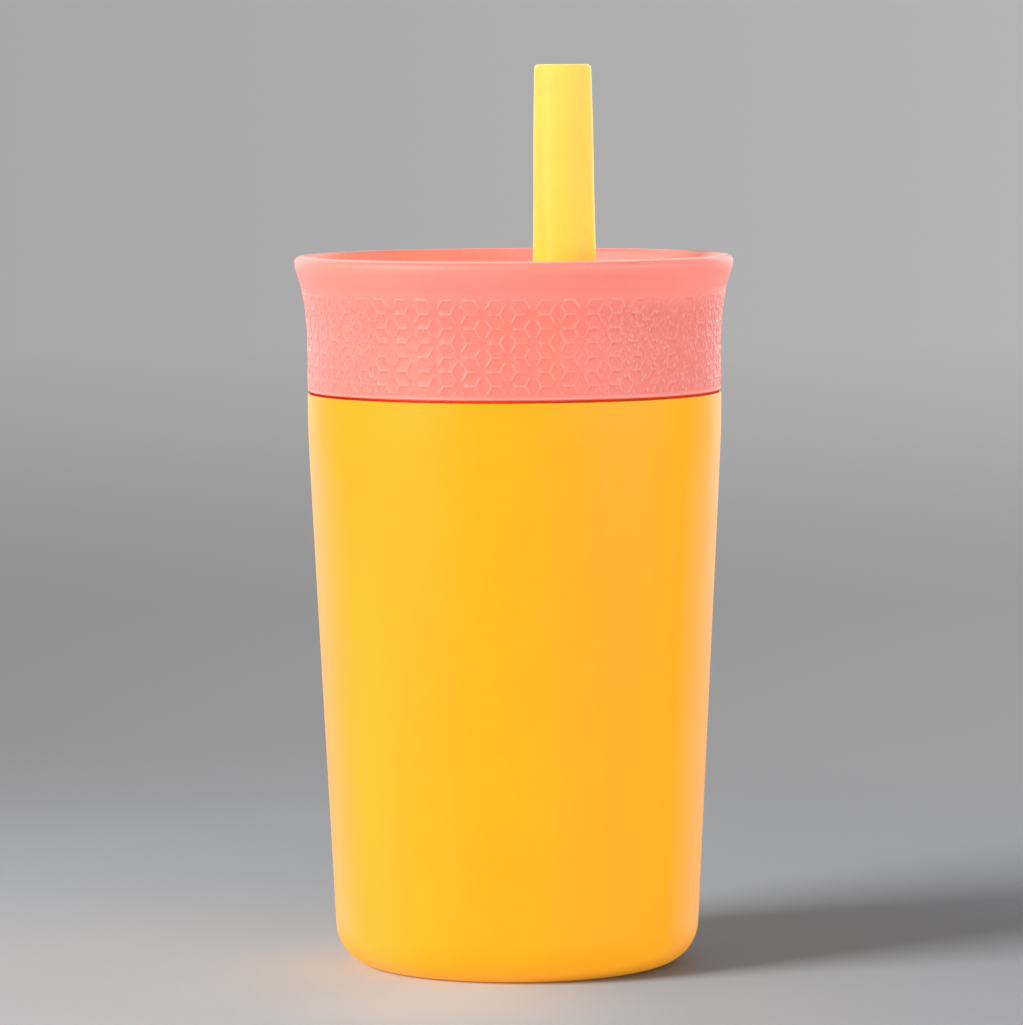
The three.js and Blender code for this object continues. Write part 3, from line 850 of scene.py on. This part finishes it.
liner = rounded(
    [(0.0, 6.5)]
    + arc(23.0, 14.5, 8.0, -90, 0, 18)
    + [
        (34.9, 112.0, 3.0), (34.9, LINER_TOP - 0.01, 0.55), (NECK_R, LINER_TOP - 0.01, 0.55),
        (NECK_R, NECK_TOP + 0.06, 0.08), (35.56, NECK_TOP + 0.06, 0.08), (35.56, 112.0, 2.5),
    ]
    + arc(23.0, 14.5, 8.6, 0, -90, 12)
    + [(0.0, 5.9)]
)
turned("cup_liner", STEEL, "cup", "inner_liner", dense(liner, 4.0), 192)

cover = rounded(
    [
        (0.0, 0.75), (18.8, 0.75, 1.2), (20.3, 0.3, 1.2), (24.4, 0.3, 0.4), (24.4, 1.5, 0.15),
        (23.7, 1.5, 0.15), (23.7, 1.05, 0.2), (20.7, 1.05, 0.8), (19.3, 1.5, 0.8), (0.0, 1.5),
    ]
)
turned("cup_base_cover", AMBER, "cup", "base_cover", dense(cover, 3.0), 160)

plate = rounded(
    [
        (1.2, 2.7, 0.1), (6.0, 2.7, 0.8), (7.2, 1.9, 0.8), (24.5, 1.9, 0.15),
        (24.5, 2.5, 0.15), (7.4, 2.5, 0.8), (6.2, 3.3, 0.8), (1.2, 3.3, 0.1),
    ]
)
turned("cup_vacuum_plate", STEEL, "cup", "vacuum_base_plate", dense(plate, 3.0), 128)

bead = catmull([(0.0, 1.9), (1.4, 1.92), (2.6, 1.98), (4.0, 2.25), (4.35, 2.5)], 4)
bead += [(4.25, 2.64), (1.1, 2.64), (1.1, 3.55), (0.75, 3.74), (0.0, 3.8)]
turned("cup_seal_bead", SOLDER, "cup", "vacuum_seal_bead", bead, 64)

holder = rounded(
    [(0.0, 5.84), (4.2, 5.84, 0.35), (4.2, 4.1, 0.1), (3.9, 4.1, 0.1), (3.9, 5.5, 0.3), (0.0, 5.5)]
)
turned("cup_getter_holder", STEEL, "cup", "getter_holder", holder, 64, centre=GETTER_AT)
pellet = dense(rounded([(0.0, 5.4), (3.6, 5.4, 0.2), (3.6, 4.4, 0.2), (0.0, 4.4)]), 0.8)
turned("cup_getter_pellet", GETTER, "cup", "getter_pellet", pellet, 64, centre=GETTER_AT)

# ---------------------------------------------------------------- lid

DECK = 126.0  # top of the lid's deck
SKIRT_R, SKIRT_IN = 39.0, 37.6
SEAL_Z0, SEAL_Z1 = gasket_lo[2], gasket_hi[2]

seal = rounded(
    [
        (34.5, 123.2, 0.2), (34.95, SEAL_Z0, 0.3), (35.5, SEAL_Z0 + 0.02, 0.2),
        (35.7, 123.1, 0.2), (35.9, 123.1, 0.2), (36.1, SEAL_Z0 + 0.02, 0.2),
        (36.85, SEAL_Z0, 0.3), (37.3, 123.2, 0.2), (37.3, 124.3, 0.3),
        (36.9, SEAL_Z1, 0.2), (34.9, SEAL_Z1, 0.2), (34.5, 124.3, 0.3),
    ]
)
turned("lid_ring_seal", MILKY, "gasket", "lid_gasket", seal, 160)


def build_deck():
    core = rounded(
        [
            (0.0, DECK), (33.6, DECK, 0.3), (33.9, DECK - 0.4, 0.3), (34.9, DECK - 0.4, 0.3),
            (35.2, DECK, 0.3), (38.4, DECK, 0.4), (SKIRT_R, 125.4, 0.3), (SKIRT_R, 119.4),
            (39.5, 119.0), (39.5, 117.4), (SKIRT_R, 117.0), (SKIRT_R, SKIRT_Z0, 0.35),
            (SKIRT_IN, SKIRT_Z0, 0.12), (SKIRT_IN, 113.15), (SKIRT_IN, 118.6),
            (SKIRT_IN, 124.7, 0.2), (34.3, 124.7, 0.2), (34.3, 120.0, 0.4),
            (33.8, 119.4, 0.25), (32.9, 119.4, 0.35), (32.9, 124.0, 0.8), (0.0, 124.0),
        ]
    )
    core = dense(thread_rows(core, SKIRT_IN, z_low=SKIRT_Z0, z_high=118.7, count=44), 4.0)
    warp = threaded(SKIRT_IN, LID_THREAD_Z, height=1.1, outward=-1)
    deck = lathe("lid_deck", core, 264, warp=warp)

    # Each tool's phase keeps its vertices clear of the others'.
    def shape(operation, profile, segs, centre, phase):
        boolean(deck, lathe("tool", profile, segs, centre=centre, phase=phase), operation)

    boss = [
        (0.0, 125.2), (11.6, 125.2, 0.1), (11.6, DECK - 0.02, 0.02),
        (10.1, DECK + 0.1, 1.1), (9.55, 128.9, 0.5), (0.0, 128.9),
    ]
    shape("UNION", rounded(boss, step=9), 96, STRAW_AT, phase=0.013)
    guide = [(0.0, 125.0), (7.2, 125.0), (7.2, 119.6, 0.3), (0.0, 119.6)]
    shape("UNION", rounded(guide), 72, STRAW_AT, phase=0.011)
    bore = [
        (0.0, 118.0), (5.05, 118.0), (5.05, 127.1, 0.2), (7.9, 127.1, 0.25),
        (7.9, 128.55), (8.2, 128.95), (8.2, 131.0), (0.0, 131.0),
    ]
    shape("DIFFERENCE", rounded(bore), 80, STRAW_AT, phase=0.017)
    recess = [
        (0.0, 125.2), (5.35, 125.2, 0.35), (5.35, 125.75, 0.1),
        (5.7, DECK + 0.03, 0.2), (5.9, 128.0), (0.0, 128.0),
    ]
    shape("DIFFERENCE", rounded(recess), 80, VENT_AT, phase=0.019)

    # the valve's hole and four smaller ones round it: (x, y, radius)
    holes = [(0.0, 0.0, 1.25)]
    for k in range(4):
        turn = math.pi / 4 + k * math.pi / 2
        holes.append((3.1 * math.cos(turn), 3.1 * math.sin(turn), 0.75))
    for x, y, radius in holes:
        wide = radius + 0.12
        hole = [
            (0.0, 122.0), (radius, 122.0), (radius, 125.1),
            (wide, 125.25), (wide, 127.0), (0.0, 127.0),
        ]
        shape("DIFFERENCE", hole, 28, (VENT_AT[0] + x, VENT_AT[1] + y), phase=0.023)
    smooth(deck.data, 34)
    dress(deck, CORAL_RIGID, "lid", "lid_core")


build_deck()

valve = catmull([(0.0, 122.95), (1.6, 122.98), (3.2, 123.15), (4.3, 123.42), (4.9, 123.68)], 5)
valve += [(4.88, 123.85)] + rounded(
    [
        (4.75, 123.95, 0.05), (1.12, 123.95, 0.15), (1.1, 126.1, 0.3), (1.95, 126.3, 0.3),
        (1.7, 127.0, 0.35), (0.9, 127.45, 0.3), (0.0, 127.5),
    ],
    closed=False,
)
turned("lid_vent_valve", MILKY, "vent", "vent_valve", valve, 64, centre=VENT_AT)

# ---------------------------------------------------------------- collar and its raised lines

PERIODS = 27  # repeats of the pattern round the collar
PER_TILE = 8  # columns of vertices in a repeat
ROWS = 4
BAND_R = 40.34
COLUMN = TAU * BAND_R / (2 * PERIODS)  # spacing of the star columns
TILE_W = 2 * COLUMN
PITCH = COLUMN / math.cos(math.pi / 6)  # spacing of the stars up a column
TOP_ROW = COLLAR_Z0 + 18.87
BAND_LO, BAND_HI = COLLAR_Z0 + 0.85, COLLAR_Z0 + 19.45
LINE_W, LINE_H, ARM = 0.25, 0.11, 1.80  # a line's half width and height, an arm's length
DOT_W, DOT_H = 0.33, 0.16  # a bead's radius and height
PHASE = math.radians(-90.0 - 1.62)  # a star of the top row, just left of the front

# The collar's outer wall: (radius at the right, z at the left).
FLARE = np.array(
    catmull(
        [
            (112.0, 40.34), (118.0, 40.34), (123.0, 40.35), (125.4, 40.46), (127.0, 40.60),
            (128.6, 40.76), (130.1, 40.99), (131.3, 41.21), (132.1, 41.38), (132.9, 41.55),
            (133.6, 41.76), (134.4, 42.0), (135.2, 42.26), (136.0, 42.52), (136.8, 42.72),
        ],
        12,
    )
)


def flare_r(z):
    return float(np.interp(z, FLARE[:, 0], FLARE[:, 1]))


def heading(angle):
    return np.array([math.cos(angle), math.sin(angle)])


def figure_joints():
    """The arms' meeting points in one repeat: (u round the collar, z, arms in degrees)."""
    joints = []
    for row in range(ROWS):
        top = TOP_ROW - row * PITCH
        low = TOP_ROW - PITCH / 2 - row * PITCH
        for column, third, z in ((0, 1, low), (0, 2, top), (1, 1, top), (1, 2, low)):
            arms = [0.0, 120.0, 240.0] if third == 1 else [60.0, 180.0, 300.0]
            if z == TOP_ROW:
                arms = [a for a in arms if not 0 < a < 180]
            joints.append((column * COLUMN + third * COLUMN / 3, z, arms))
    return joints


def outline(centre, arms, offset):
    """The closed line that runs at an offset round a joint's arms."""
    points = []
    for i, start in enumerate(arms):
        last = i == len(arms) - 1
        end = arms[0] + 360.0 if last else arms[i + 1]
        a, b = math.radians(start), math.radians(end)
        out, back = heading(a), heading(b)
        left, right = np.array([-out[1], out[0]]), np.array([back[1], -back[0]])
        # the arm's end cap, then back along its left side
        for swing in np.linspace(-90, 90, 6):
            points.append(centre + out * ARM + offset * heading(a + math.radians(swing)))
        points += [centre + (out * reach + left * offset) for reach in (1.25, 0.75)]
        # the corner to the next arm, and out along that arm
        gap = math.radians(end - start)
        if gap < math.pi:
            points.append(centre + offset / math.sin(gap / 2) * heading((a + b) / 2))
        else:
            for turn in np.linspace(a + math.pi / 2, b - math.pi / 2, 5):
                points.append(centre + offset * heading(turn))
        points += [centre + (back * reach + right * offset) for reach in (0.75, 1.25)]
    return points


def distance_to(segments, points):
    """Distance from each point to the nearest (start, end) segment."""
    best = np.full(len(points), 1e9)
    for start, end in segments:
        along = end - start
        off = points - start
        share = np.clip((off[:, 0] * along[0] + off[:, 1] * along[1]) / (along @ along), 0, 1)
        away = np.hypot(off[:, 0] - share * along[0], off[:, 1] - share * along[1])
        best = np.minimum(best, away)
    return best


def swell(distance, width):
    """1 at no distance, falling smoothly to 0 at width."""
    crest = 0.5 + 0.5 * np.cos(math.pi * np.clip(distance / width, 0, 1))
    return np.where(distance < width, crest, 0.0)


def collar_tile():
    """Triangles of one repeat of the band in (u, z), with each point's height and painted
    highlight.
    """
    points, edges, beads, segments = [], [], [], []

    def add(line, close=True):
        """Adds the part of a line that lies inside the band."""
        kept, count = {}, len(line)
        for i, point in enumerate(line):
            if BAND_LO + 0.12 < point[1] < BAND_HI - 0.05:
                kept[i] = len(points)
                points.append(point)
        for i in range(count if close else count - 1):
            if i in kept and (i + 1) % count in kept:
                edges.append((kept[i], kept[(i + 1) % count]))

    for u, z, arms in figure_joints():
        centre = np.array([u, z])
        for offset in (LINE_W, 0.155, 0.07):
            add(outline(centre, arms, offset))
        for degrees in arms:
            out = heading(math.radians(degrees))
            add([centre + reach * out for reach in (0.4, 0.8, 1.25, ARM)], close=False)
            for shift in (-TILE_W, 0.0, TILE_W):
                start = np.array([u + shift, z])
                segments.append((start, start + ARM * out))
        add([(u, z)], close=False)
        if 180.0 in arms and BAND_LO + 0.6 < z:
            # a small round bead at the free end
            tip = np.array([u - ARM, z])
            add([tip + 0.17 * heading(turn) for turn in np.linspace(0, TAU, 9)[:-1]])
            beads.append(tip)

    # the tile's border, then loose points on the ground between the lines
    step = TILE_W / PER_TILE
    rows = np.linspace(BAND_LO, BAND_HI, 16)
    for z in (BAND_LO, BAND_HI):
        base = len(points)
        points.extend([(j * step, z) for j in range(PER_TILE + 1)])
        edges.extend([(base + j, base + j + 1) for j in range(PER_TILE)])
    for u in (0.0, TILE_W):
        points.extend([(u, z) for z in rows[1:-1]])
    for z in rows[1:-1]:
        for j in range(1, 2 * PER_TILE):
            point = (j * step / 2, z + (0.31 if j % 2 else -0.31))
            inside = BAND_LO + 0.5 < point[1] < BAND_HI - 0.5
            if inside and distance_to(segments, np.array([point]))[0] > LINE_W + 0.3:
                points.append(point)
    made = delaunay_2d_cdt([Vector(p) for p in points], edges, [], 0, 1e-7)
    verts = np.array([tuple(v) for v in made[0]])
    relief = swell(distance_to(segments, verts), LINE_W)
    # the raised lines carry a painted highlight as well as their height
    height, painted_highlight = LINE_H * relief, 0.75 * relief
    # the beads carry a stronger painted highlight, a painted glint
    for u, z in beads:
        for shift in (-TILE_W, 0.0, TILE_W):
            cap = swell(np.hypot(verts[:, 0] - u - shift, verts[:, 1] - z), DOT_W)
            height = np.maximum(height, DOT_H * cap)
            painted_highlight = np.maximum(painted_highlight, 1.75 * cap)
    low = ease((verts[:, 1] - BAND_LO) / 0.3)
    return verts, [tuple(f) for f in made[2]], height * low, painted_highlight * low


def collar_profile():
    """From the band's lower edge, under and inside the collar, over the lip to its top."""
    under = rounded(
        [
            (flare_r(BAND_LO), BAND_LO), (BAND_R, COLLAR_Z0, 0.36), (40.0, COLLAR_Z0, 0.03),
            (39.98, COLLAR_Z0 - 0.56, 0.05), (39.2, COLLAR_Z0 - 0.56, 0.1),
            (39.12, COLLAR_Z0 + 0.1, 0.1), (39.12, 116.95), (39.6, 117.35), (39.6, 119.05),
            (39.12, 119.45), (39.12, 125.45, 0.3), (38.45, 126.12, 0.3), (37.05, 126.12),
        ],
        closed=False,
    )
    lip = catmull(
        [
            (37.05, 126.12), (37.5, 126.3), (37.85, 126.9), (38.2, 128.0), (38.8, 130.4),
            (39.4, 133.2), (39.9, 135.7), (40.14, 137.1), (40.34, 138.1), (40.56, 138.62),
            (40.87, COLLAR_Z1 - 0.08), (41.24, COLLAR_Z1), (41.68, COLLAR_Z1 - 0.02),
            (42.12, COLLAR_Z1 - 0.15), (42.49, 138.58), (42.73, 138.2), (LIP_R + 0.03, 137.7),
            (LIP_R, 137.2), (42.68, 136.6), (42.50, 135.95), (42.26, 135.2), (42.0, 134.4),
            (41.76, 133.6), (41.55, 132.9), (flare_r(BAND_HI), BAND_HI),
        ],
        5,
    )
    return under[:-1] + lip


def build_collar():
    segs = PERIODS * PER_TILE
    verts, faces, rows = lathe_arrays(collar_profile(), segs, closed=False, phase=PHASE)
    verts = [tuple(v) for v in verts]
    relief = [0.0] * len(verts)
    tile_verts, tile_faces, heights, painted_highlights = collar_tile()
    known = {}  # vertex numbers by place, so that neighbouring tiles share their borders
    for row, z in ((rows[0], BAND_LO), (rows[-1], BAND_HI)):
        for j, index in enumerate(row):
            known[(j * 1000, round(z * 1000))] = index
    for tile in range(PERIODS):
        ids = []
        for (u, z), height, painted_highlight in zip(tile_verts, heights, painted_highlights):
            place = (tile + u / TILE_W) * PER_TILE  # in columns round the collar
            key = (round(place * 1000) % (segs * 1000), round(z * 1000))
            index = known.get(key)
            if index is None:
                index = len(verts)
                known[key] = index
                angle = PHASE + place / PER_TILE * (TAU / PERIODS)
                # the lines are lower towards both sides
                x = BAND_R * math.cos(angle)
                sunk = 0.28 * float(ease((x - 9.0) / 15.0) + ease((-20.5 - x) / 10.5))
                radius = flare_r(z) + height * (1 - sunk)
                verts.append((radius * math.cos(angle), radius * math.sin(angle), z))
                relief.append(float(painted_highlight))
            ids.append(index)
        for face in tile_faces:
            triangle = tuple(ids[i] for i in face)
            if len(set(triangle)) == 3:
                faces.append(triangle)
    ob = finish_mesh("collar", verts, faces, sharp=60)
    # the relief attribute carries the painted highlight of the raised lines and beads
    layer = ob.data.attributes.new("relief", "FLOAT", "POINT")
    layer.data.foreach_set("value", relief)
    dress(ob, CORAL, "lid", "grip_collar")
    return ob


collar = build_collar()

# ---------------------------------------------------------------- straw

STRAW_BORE = 3.0
PIVOT_Z, HALF_FLEX = 134.2, 4.4  # the pivot's height when the frame has no joint for it
for joint in frame["joints"]:
    if joint["name"] == "straw_flex":
        PIVOT_Z = joint["pos_m"][2] / MM


def straw_warp(verts):
    x, y, z = verts.T
    angle, radius = np.arctan2(y, x), np.hypot(x, y)
    # mould parting line down both sides, only outside and above the flange
    line = np.exp(-((np.minimum(np.abs(np.sin(angle)), 1.0) / 0.035) ** 2))
    out = (radius > 5.0) & (z > 130.5) & (z < STRAW_TOP - 1.4)
    scale = 1 + np.where(out, 0.035 * line / np.maximum(radius, 1e-6), 0)
    verts[:, 0] *= scale
    verts[:, 1] *= scale
    # a slight lean to the left above the pivot
    verts[:, 0] += -0.0045 * np.clip(z - PIVOT_Z, 0, None)
    return verts


def build_straw():
    foot = [
        (STRAW_BORE, 140.0), (STRAW_BORE, 120.95, 0.1), (3.9, 120.95, 0.1), (3.9, 117.3, 0.25),
        (4.7, 117.3, 0.3), (4.98, 118.4, 0.3), (4.85, 119.0, 0.3), (4.85, 127.17, 0.1),
        (7.7, 127.17, 0.35), (7.7, 128.75, 0.45), (6.32, 129.3, 1.2), (6.3, 133.0),
    ]
    stem = [
        (6.3, 133.0), (6.22, 136.0), (6.15, 138.3), (6.07, 141.2), (5.97, 146.0),
        (5.89, 151.0), (5.84, 158.0), (5.75, 165.0), (5.64, 170.5), (5.56, 174.4),
    ]
    mouth = [
        (5.56, 174.4), (5.53, STRAW_TOP, 0.85), (STRAW_BORE, STRAW_TOP, 0.6), (STRAW_BORE, 140.0),
    ]
    profile = rounded(foot, closed=False)[:-1] + catmull(stem, 5)
    profile = dense(profile + rounded(mouth, closed=False)[1:-1], 1.4)
    straw = lathe("straw_soft", profile, 96, centre=STRAW_AT, warp=straw_warp, sharp=50)
    coat(straw, YELLOW, "straw_foot", "straw_mouthpiece")
    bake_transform(straw)


def build_slit_valve():
    """A small dome with a cross cut through it."""
    rim = [(2.5, 120.85), (3.8, 120.85, 0.12), (3.8, 119.95, 0.12), (2.5, 119.95), (2.1, 120.3)]
    dome = catmull([(0.0, 121.7), (0.9, 121.6), (1.6, 121.35), (2.3, 120.95)], 4)
    dome += rounded(rim, closed=False)
    dome += catmull([(1.6, 120.7), (0.8, 120.98), (0.0, 121.05)], 4)
    slit_valve = lathe("straw_slit_valve", dome, 72, centre=STRAW_AT)
    faces = [(0, 1, 3, 2), (4, 6, 7, 5), (0, 4, 5, 1), (2, 3, 7, 6), (0, 2, 6, 4), (1, 5, 7, 3)]
    for width, depth in ((2.8, 0.14), (0.14, 2.8)):
        across, deep = (-width / 2, width / 2), (-depth / 2, depth / 2)
        verts = np.array([(x, y, z) for z in (119.0, 123.0) for y in deep for x in across])
        slit = finish_mesh("tool", verts + np.array([*STRAW_AT, 0.0]), faces)
        boolean(slit_valve, slit, "DIFFERENCE")
    smooth(slit_valve.data, 35)
    dress(slit_valve, YELLOW, "straw", "spill_valve")


def slant_warp(verts):
    """Cuts the lower end on a slant, taken up over the first 10 mm."""
    low, z = lower_lo[2], verts[:, 2]
    end = np.maximum(low, 12.14 - 0.7 * verts[:, 0])
    share = np.clip((z - low) / 10.0, 0, 1)
    verts[:, 2] = np.where(z < low + 10.0, end + (low + 10.0 - end) * share, z)
    return verts


build_straw()
build_slit_valve()

joiner = rounded(
    [
        (1.9, 119.85, 0.15), (3.6, 119.85, 0.2), (3.8, 119.6, 0.1), (3.8, 117.2, 0.1),
        (4.7, 117.2, 0.2), (4.7, 115.85, 0.2), (2.85, 115.85, 0.1), (2.85, 112.0, 0.1),
        (2.6, 110.8, 0.15), (1.9, 110.8, 0.15),
    ]
)
turned("straw_joiner", WHITE, "straw", "straw_connector", joiner, 72, centre=STRAW_AT)

tube = rounded(
    [
        (2.95, lower_lo[2], 0.12), (4.0, lower_lo[2], 0.2),
        (4.0, lower_hi[2], 0.2), (2.95, lower_hi[2], 0.12),
    ]
)
lower_tube = lathe("straw_lower_tube", dense(tube, 2.0), 72, centre=STRAW_AT, warp=slant_warp)
dress(lower_tube, YELLOW, "straw", "lower_straw")

# ---------------------------------------------------------------- stage

HORIZON = (0.423, 0.416, 0.423)
ZENITH = (0.20, 0.20, 0.205)
AMBIENT = (0.125, 0.125, 0.127)
FLOOR_R = 2600.0

# The painted glow of the floor outside the lit patch: (distance in metres, grey).
PAINTED_FLOOR_SWEEP = [
    (0.08, 0.47), (0.17, 0.40), (0.28, 0.347), (0.41, 0.323), (0.57, 0.316), (0.78, 0.307),
    (1.0, 0.320), (1.3, 0.348), (1.7, 0.382), (2.1, 0.400), (2.55, 0.423),
]


def make_world():
    world = bpy.data.worlds.new("studio")
    bpy.context.scene.world = world
    sky = Nodes(world, "OutputWorld", "Background")
    _, y, z = sky.new("SeparateXYZ", Vector=sky.new("TexCoord").outputs["Generated"]).outputs
    light = sky.mix(sky.ramp(z, over=(-0.06, 0.75)), AMBIENT, ZENITH)
    # reflections see a dark room in front and a bright wall behind
    walls = sky.mix(sky.ramp(y, over=(-0.2, 0.8)), (0.13, 0.13, 0.13), (0.95, 0.95, 0.96))
    ray = sky.new("LightPath").outputs
    unseen = sky.mix(ray["Is Glossy Ray"], light, walls)
    horizon = sky.new("RGB").outputs[0]
    horizon.default_value = (*HORIZON, 1)
    sky.set(Color=sky.mix(ray["Is Camera Ray"], unseen, sky.across(horizon)))


def make_floor():
    mat = Material("studio_floor")
    x, y, _ = mat.place
    radius = mat.radius()
    speck = mat.noise(scale=900.0, detail=3.0, rough=0.6)
    cloudy = mat.ramp(mat.noise(scale=6.0), over=(0.35, 0.65))
    colour = mat.mix(cloudy, (0.68, 0.71, 0.74), (0.71, 0.74, 0.77))
    specked = mat.ramp(speck, over=(0.4, 0.7), to=(0.0, 0.08))
    colour = mat.mix(specked, colour, (0.6, 0.61, 0.62))
    # painted light: a soft patch of light, as if thrown forward by the cup
    x, y = mat.plus(x, 0.012), mat.plus(y, 0.066)
    squares = mat.plus(mat.times(x, x), mat.times(mat.times(y, y), 0.8))
    patch = mat.ramp(mat.math("SQRT", squares), over=(0.004, 0.046), to=(0.90, 0.0))
    colour = mat.mix(patch, colour, (0.88, 0.89, 0.88))
    normal = mat.bump(speck, distance=0.00004, strength=0.3)
    mat.set(Base_Color=colour, Roughness=0.75, Normal=normal, Specular_IOR_Level=0.25)
    # painted light: the pale table glows for diffuse rays, lighting the foot of the cup from below
    near = mat.ramp(radius, over=(0.045, 0.085), to=(0.30, 0.0))
    mat.set(Emission_Color=(1.0, 0.98, 0.96))
    mat.set(Emission_Strength=mat.times(mat.diffuse_ray(), near))
    # painted light: beyond the lit patch the floor glows, a sweep that takes the tone of the
    # backdrop
    reach = FLOOR_R * MM
    greys = [(at, (grey, grey * 0.984, grey)) for at, grey in PAINTED_FLOOR_SWEEP]
    sweep = mat.colour_ramp(mat.math("DIVIDE", radius, reach), (0.0, reach), greys)
    glow = mat.new("Emission", Color=mat.across(sweep))
    mixed = mat.new("MixShader")
    sources = mat.ramp(radius, over=(0.09, 0.42)), mat.shader.outputs[0], glow.outputs[0]
    for socket, source in zip(mixed.inputs, sources):
        mat.put(socket, source)
    mat.put(mat.out.inputs[0], mixed.outputs[0])
    return mat


make_world()
floor_rows = [(0.0, 0.0)] + [(FLOOR_R * (k / 60) ** 1.6, 0.0) for k in range(1, 61)]
floor = lathe("studio_floor", floor_rows, 96)
make_floor().give(floor)

# ---------------------------------------------------------------- lights

AIM = Vector((0.0, 0.0, 0.08))


def group(name, objects):
    made = bpy.data.collections.new(name)
    for ob in objects:
        made.objects.link(ob)
    return made


# Only the key lights the floor, so the cup keeps one clear shadow.
pieces = [ob for ob in bpy.context.scene.objects if ob.type == "MESH" and ob is not floor]
cup_only = group("cup_only", pieces)
no_lid = group("no_lid", [ob for ob in cup_only.objects if ob is not collar])
lid_only = group("lid_only", [collar])


def panel(name, at, size, power, only=None):
    """A rectangular light aimed at the cup; only is the collection it lights."""
    data = bpy.data.lights.new(name, "AREA")
    data.shape = "RECTANGLE"
    data.size, data.size_y = size
    data.energy = power
    ob = bpy.data.objects.new(name, data)
    bpy.context.scene.collection.objects.link(ob)
    ob.location = at
    ob.rotation_mode = "QUATERNION"
    ob.rotation_quaternion = (AIM - Vector(at)).to_track_quat("-Z", "Y")
    ob.visible_camera = False
    if only is not None:
        ob.light_linking.receiver_collection = only
    return ob


panel("key", at=(-0.805, -0.513, 0.39), size=(0.42, 0.42), power=10.8)
panel("fill", at=(1.104, -0.587, 0.33), size=(1.1, 0.55), power=13.3, only=cup_only)
panel("front", at=(0.50, -1.40, 0.13), size=(0.9, 0.24), power=3.0, only=cup_only)
panel("lid_side", at=(-0.95, -0.30, 0.30), size=(0.3, 0.3), power=1.5, only=lid_only)
panel("hair", at=(0.0, 0.80, 0.92), size=(0.9, 0.4), power=9.0, only=no_lid)
for side, power in ((-1, 3.0), (1, 4.2)):
    strip = panel("edge", (0.53 * side, 1.0, 0.30), (0.25, 0.8), power, only=cup_only)
    strip.visible_diffuse = False

# ---------------------------------------------------------------- camera

CAMERA_AT = (0.0, -1.17077, 0.17683)
PITCH_DOWN, ROLL, YAW = 0.0753, -0.0055, 0.0006  # radians
LENS = 210.575415  # mm


def make_camera():
    ahead = Vector((-math.sin(YAW), math.cos(YAW), 0.0))
    level = Vector((math.cos(YAW), math.sin(YAW), 0.0))
    rise = Vector((0, 0, 1))
    forward = ahead * math.cos(PITCH_DOWN) - rise * math.sin(PITCH_DOWN)
    upright = rise * math.cos(PITCH_DOWN) + ahead * math.sin(PITCH_DOWN)
    right = level * math.cos(ROLL) + upright * math.sin(ROLL)
    up = -level * math.sin(ROLL) + upright * math.cos(ROLL)
    data = bpy.data.cameras.new("camera")
    data.sensor_width = 36.0
    data.lens = LENS
    data.clip_start, data.clip_end = 0.05, 30.0
    camera = bpy.data.objects.new("camera", data)
    bpy.context.scene.collection.objects.link(camera)
    turn = Matrix((right, up, -forward)).transposed()
    camera.matrix_world = Matrix.Translation(CAMERA_AT) @ turn.to_4x4()
    bpy.context.scene.camera = camera


make_camera()

view = bpy.context.scene.view_settings
view.view_transform = "Standard"
view.look = "None"
view.exposure = 0.0
view.gamma = 1.0
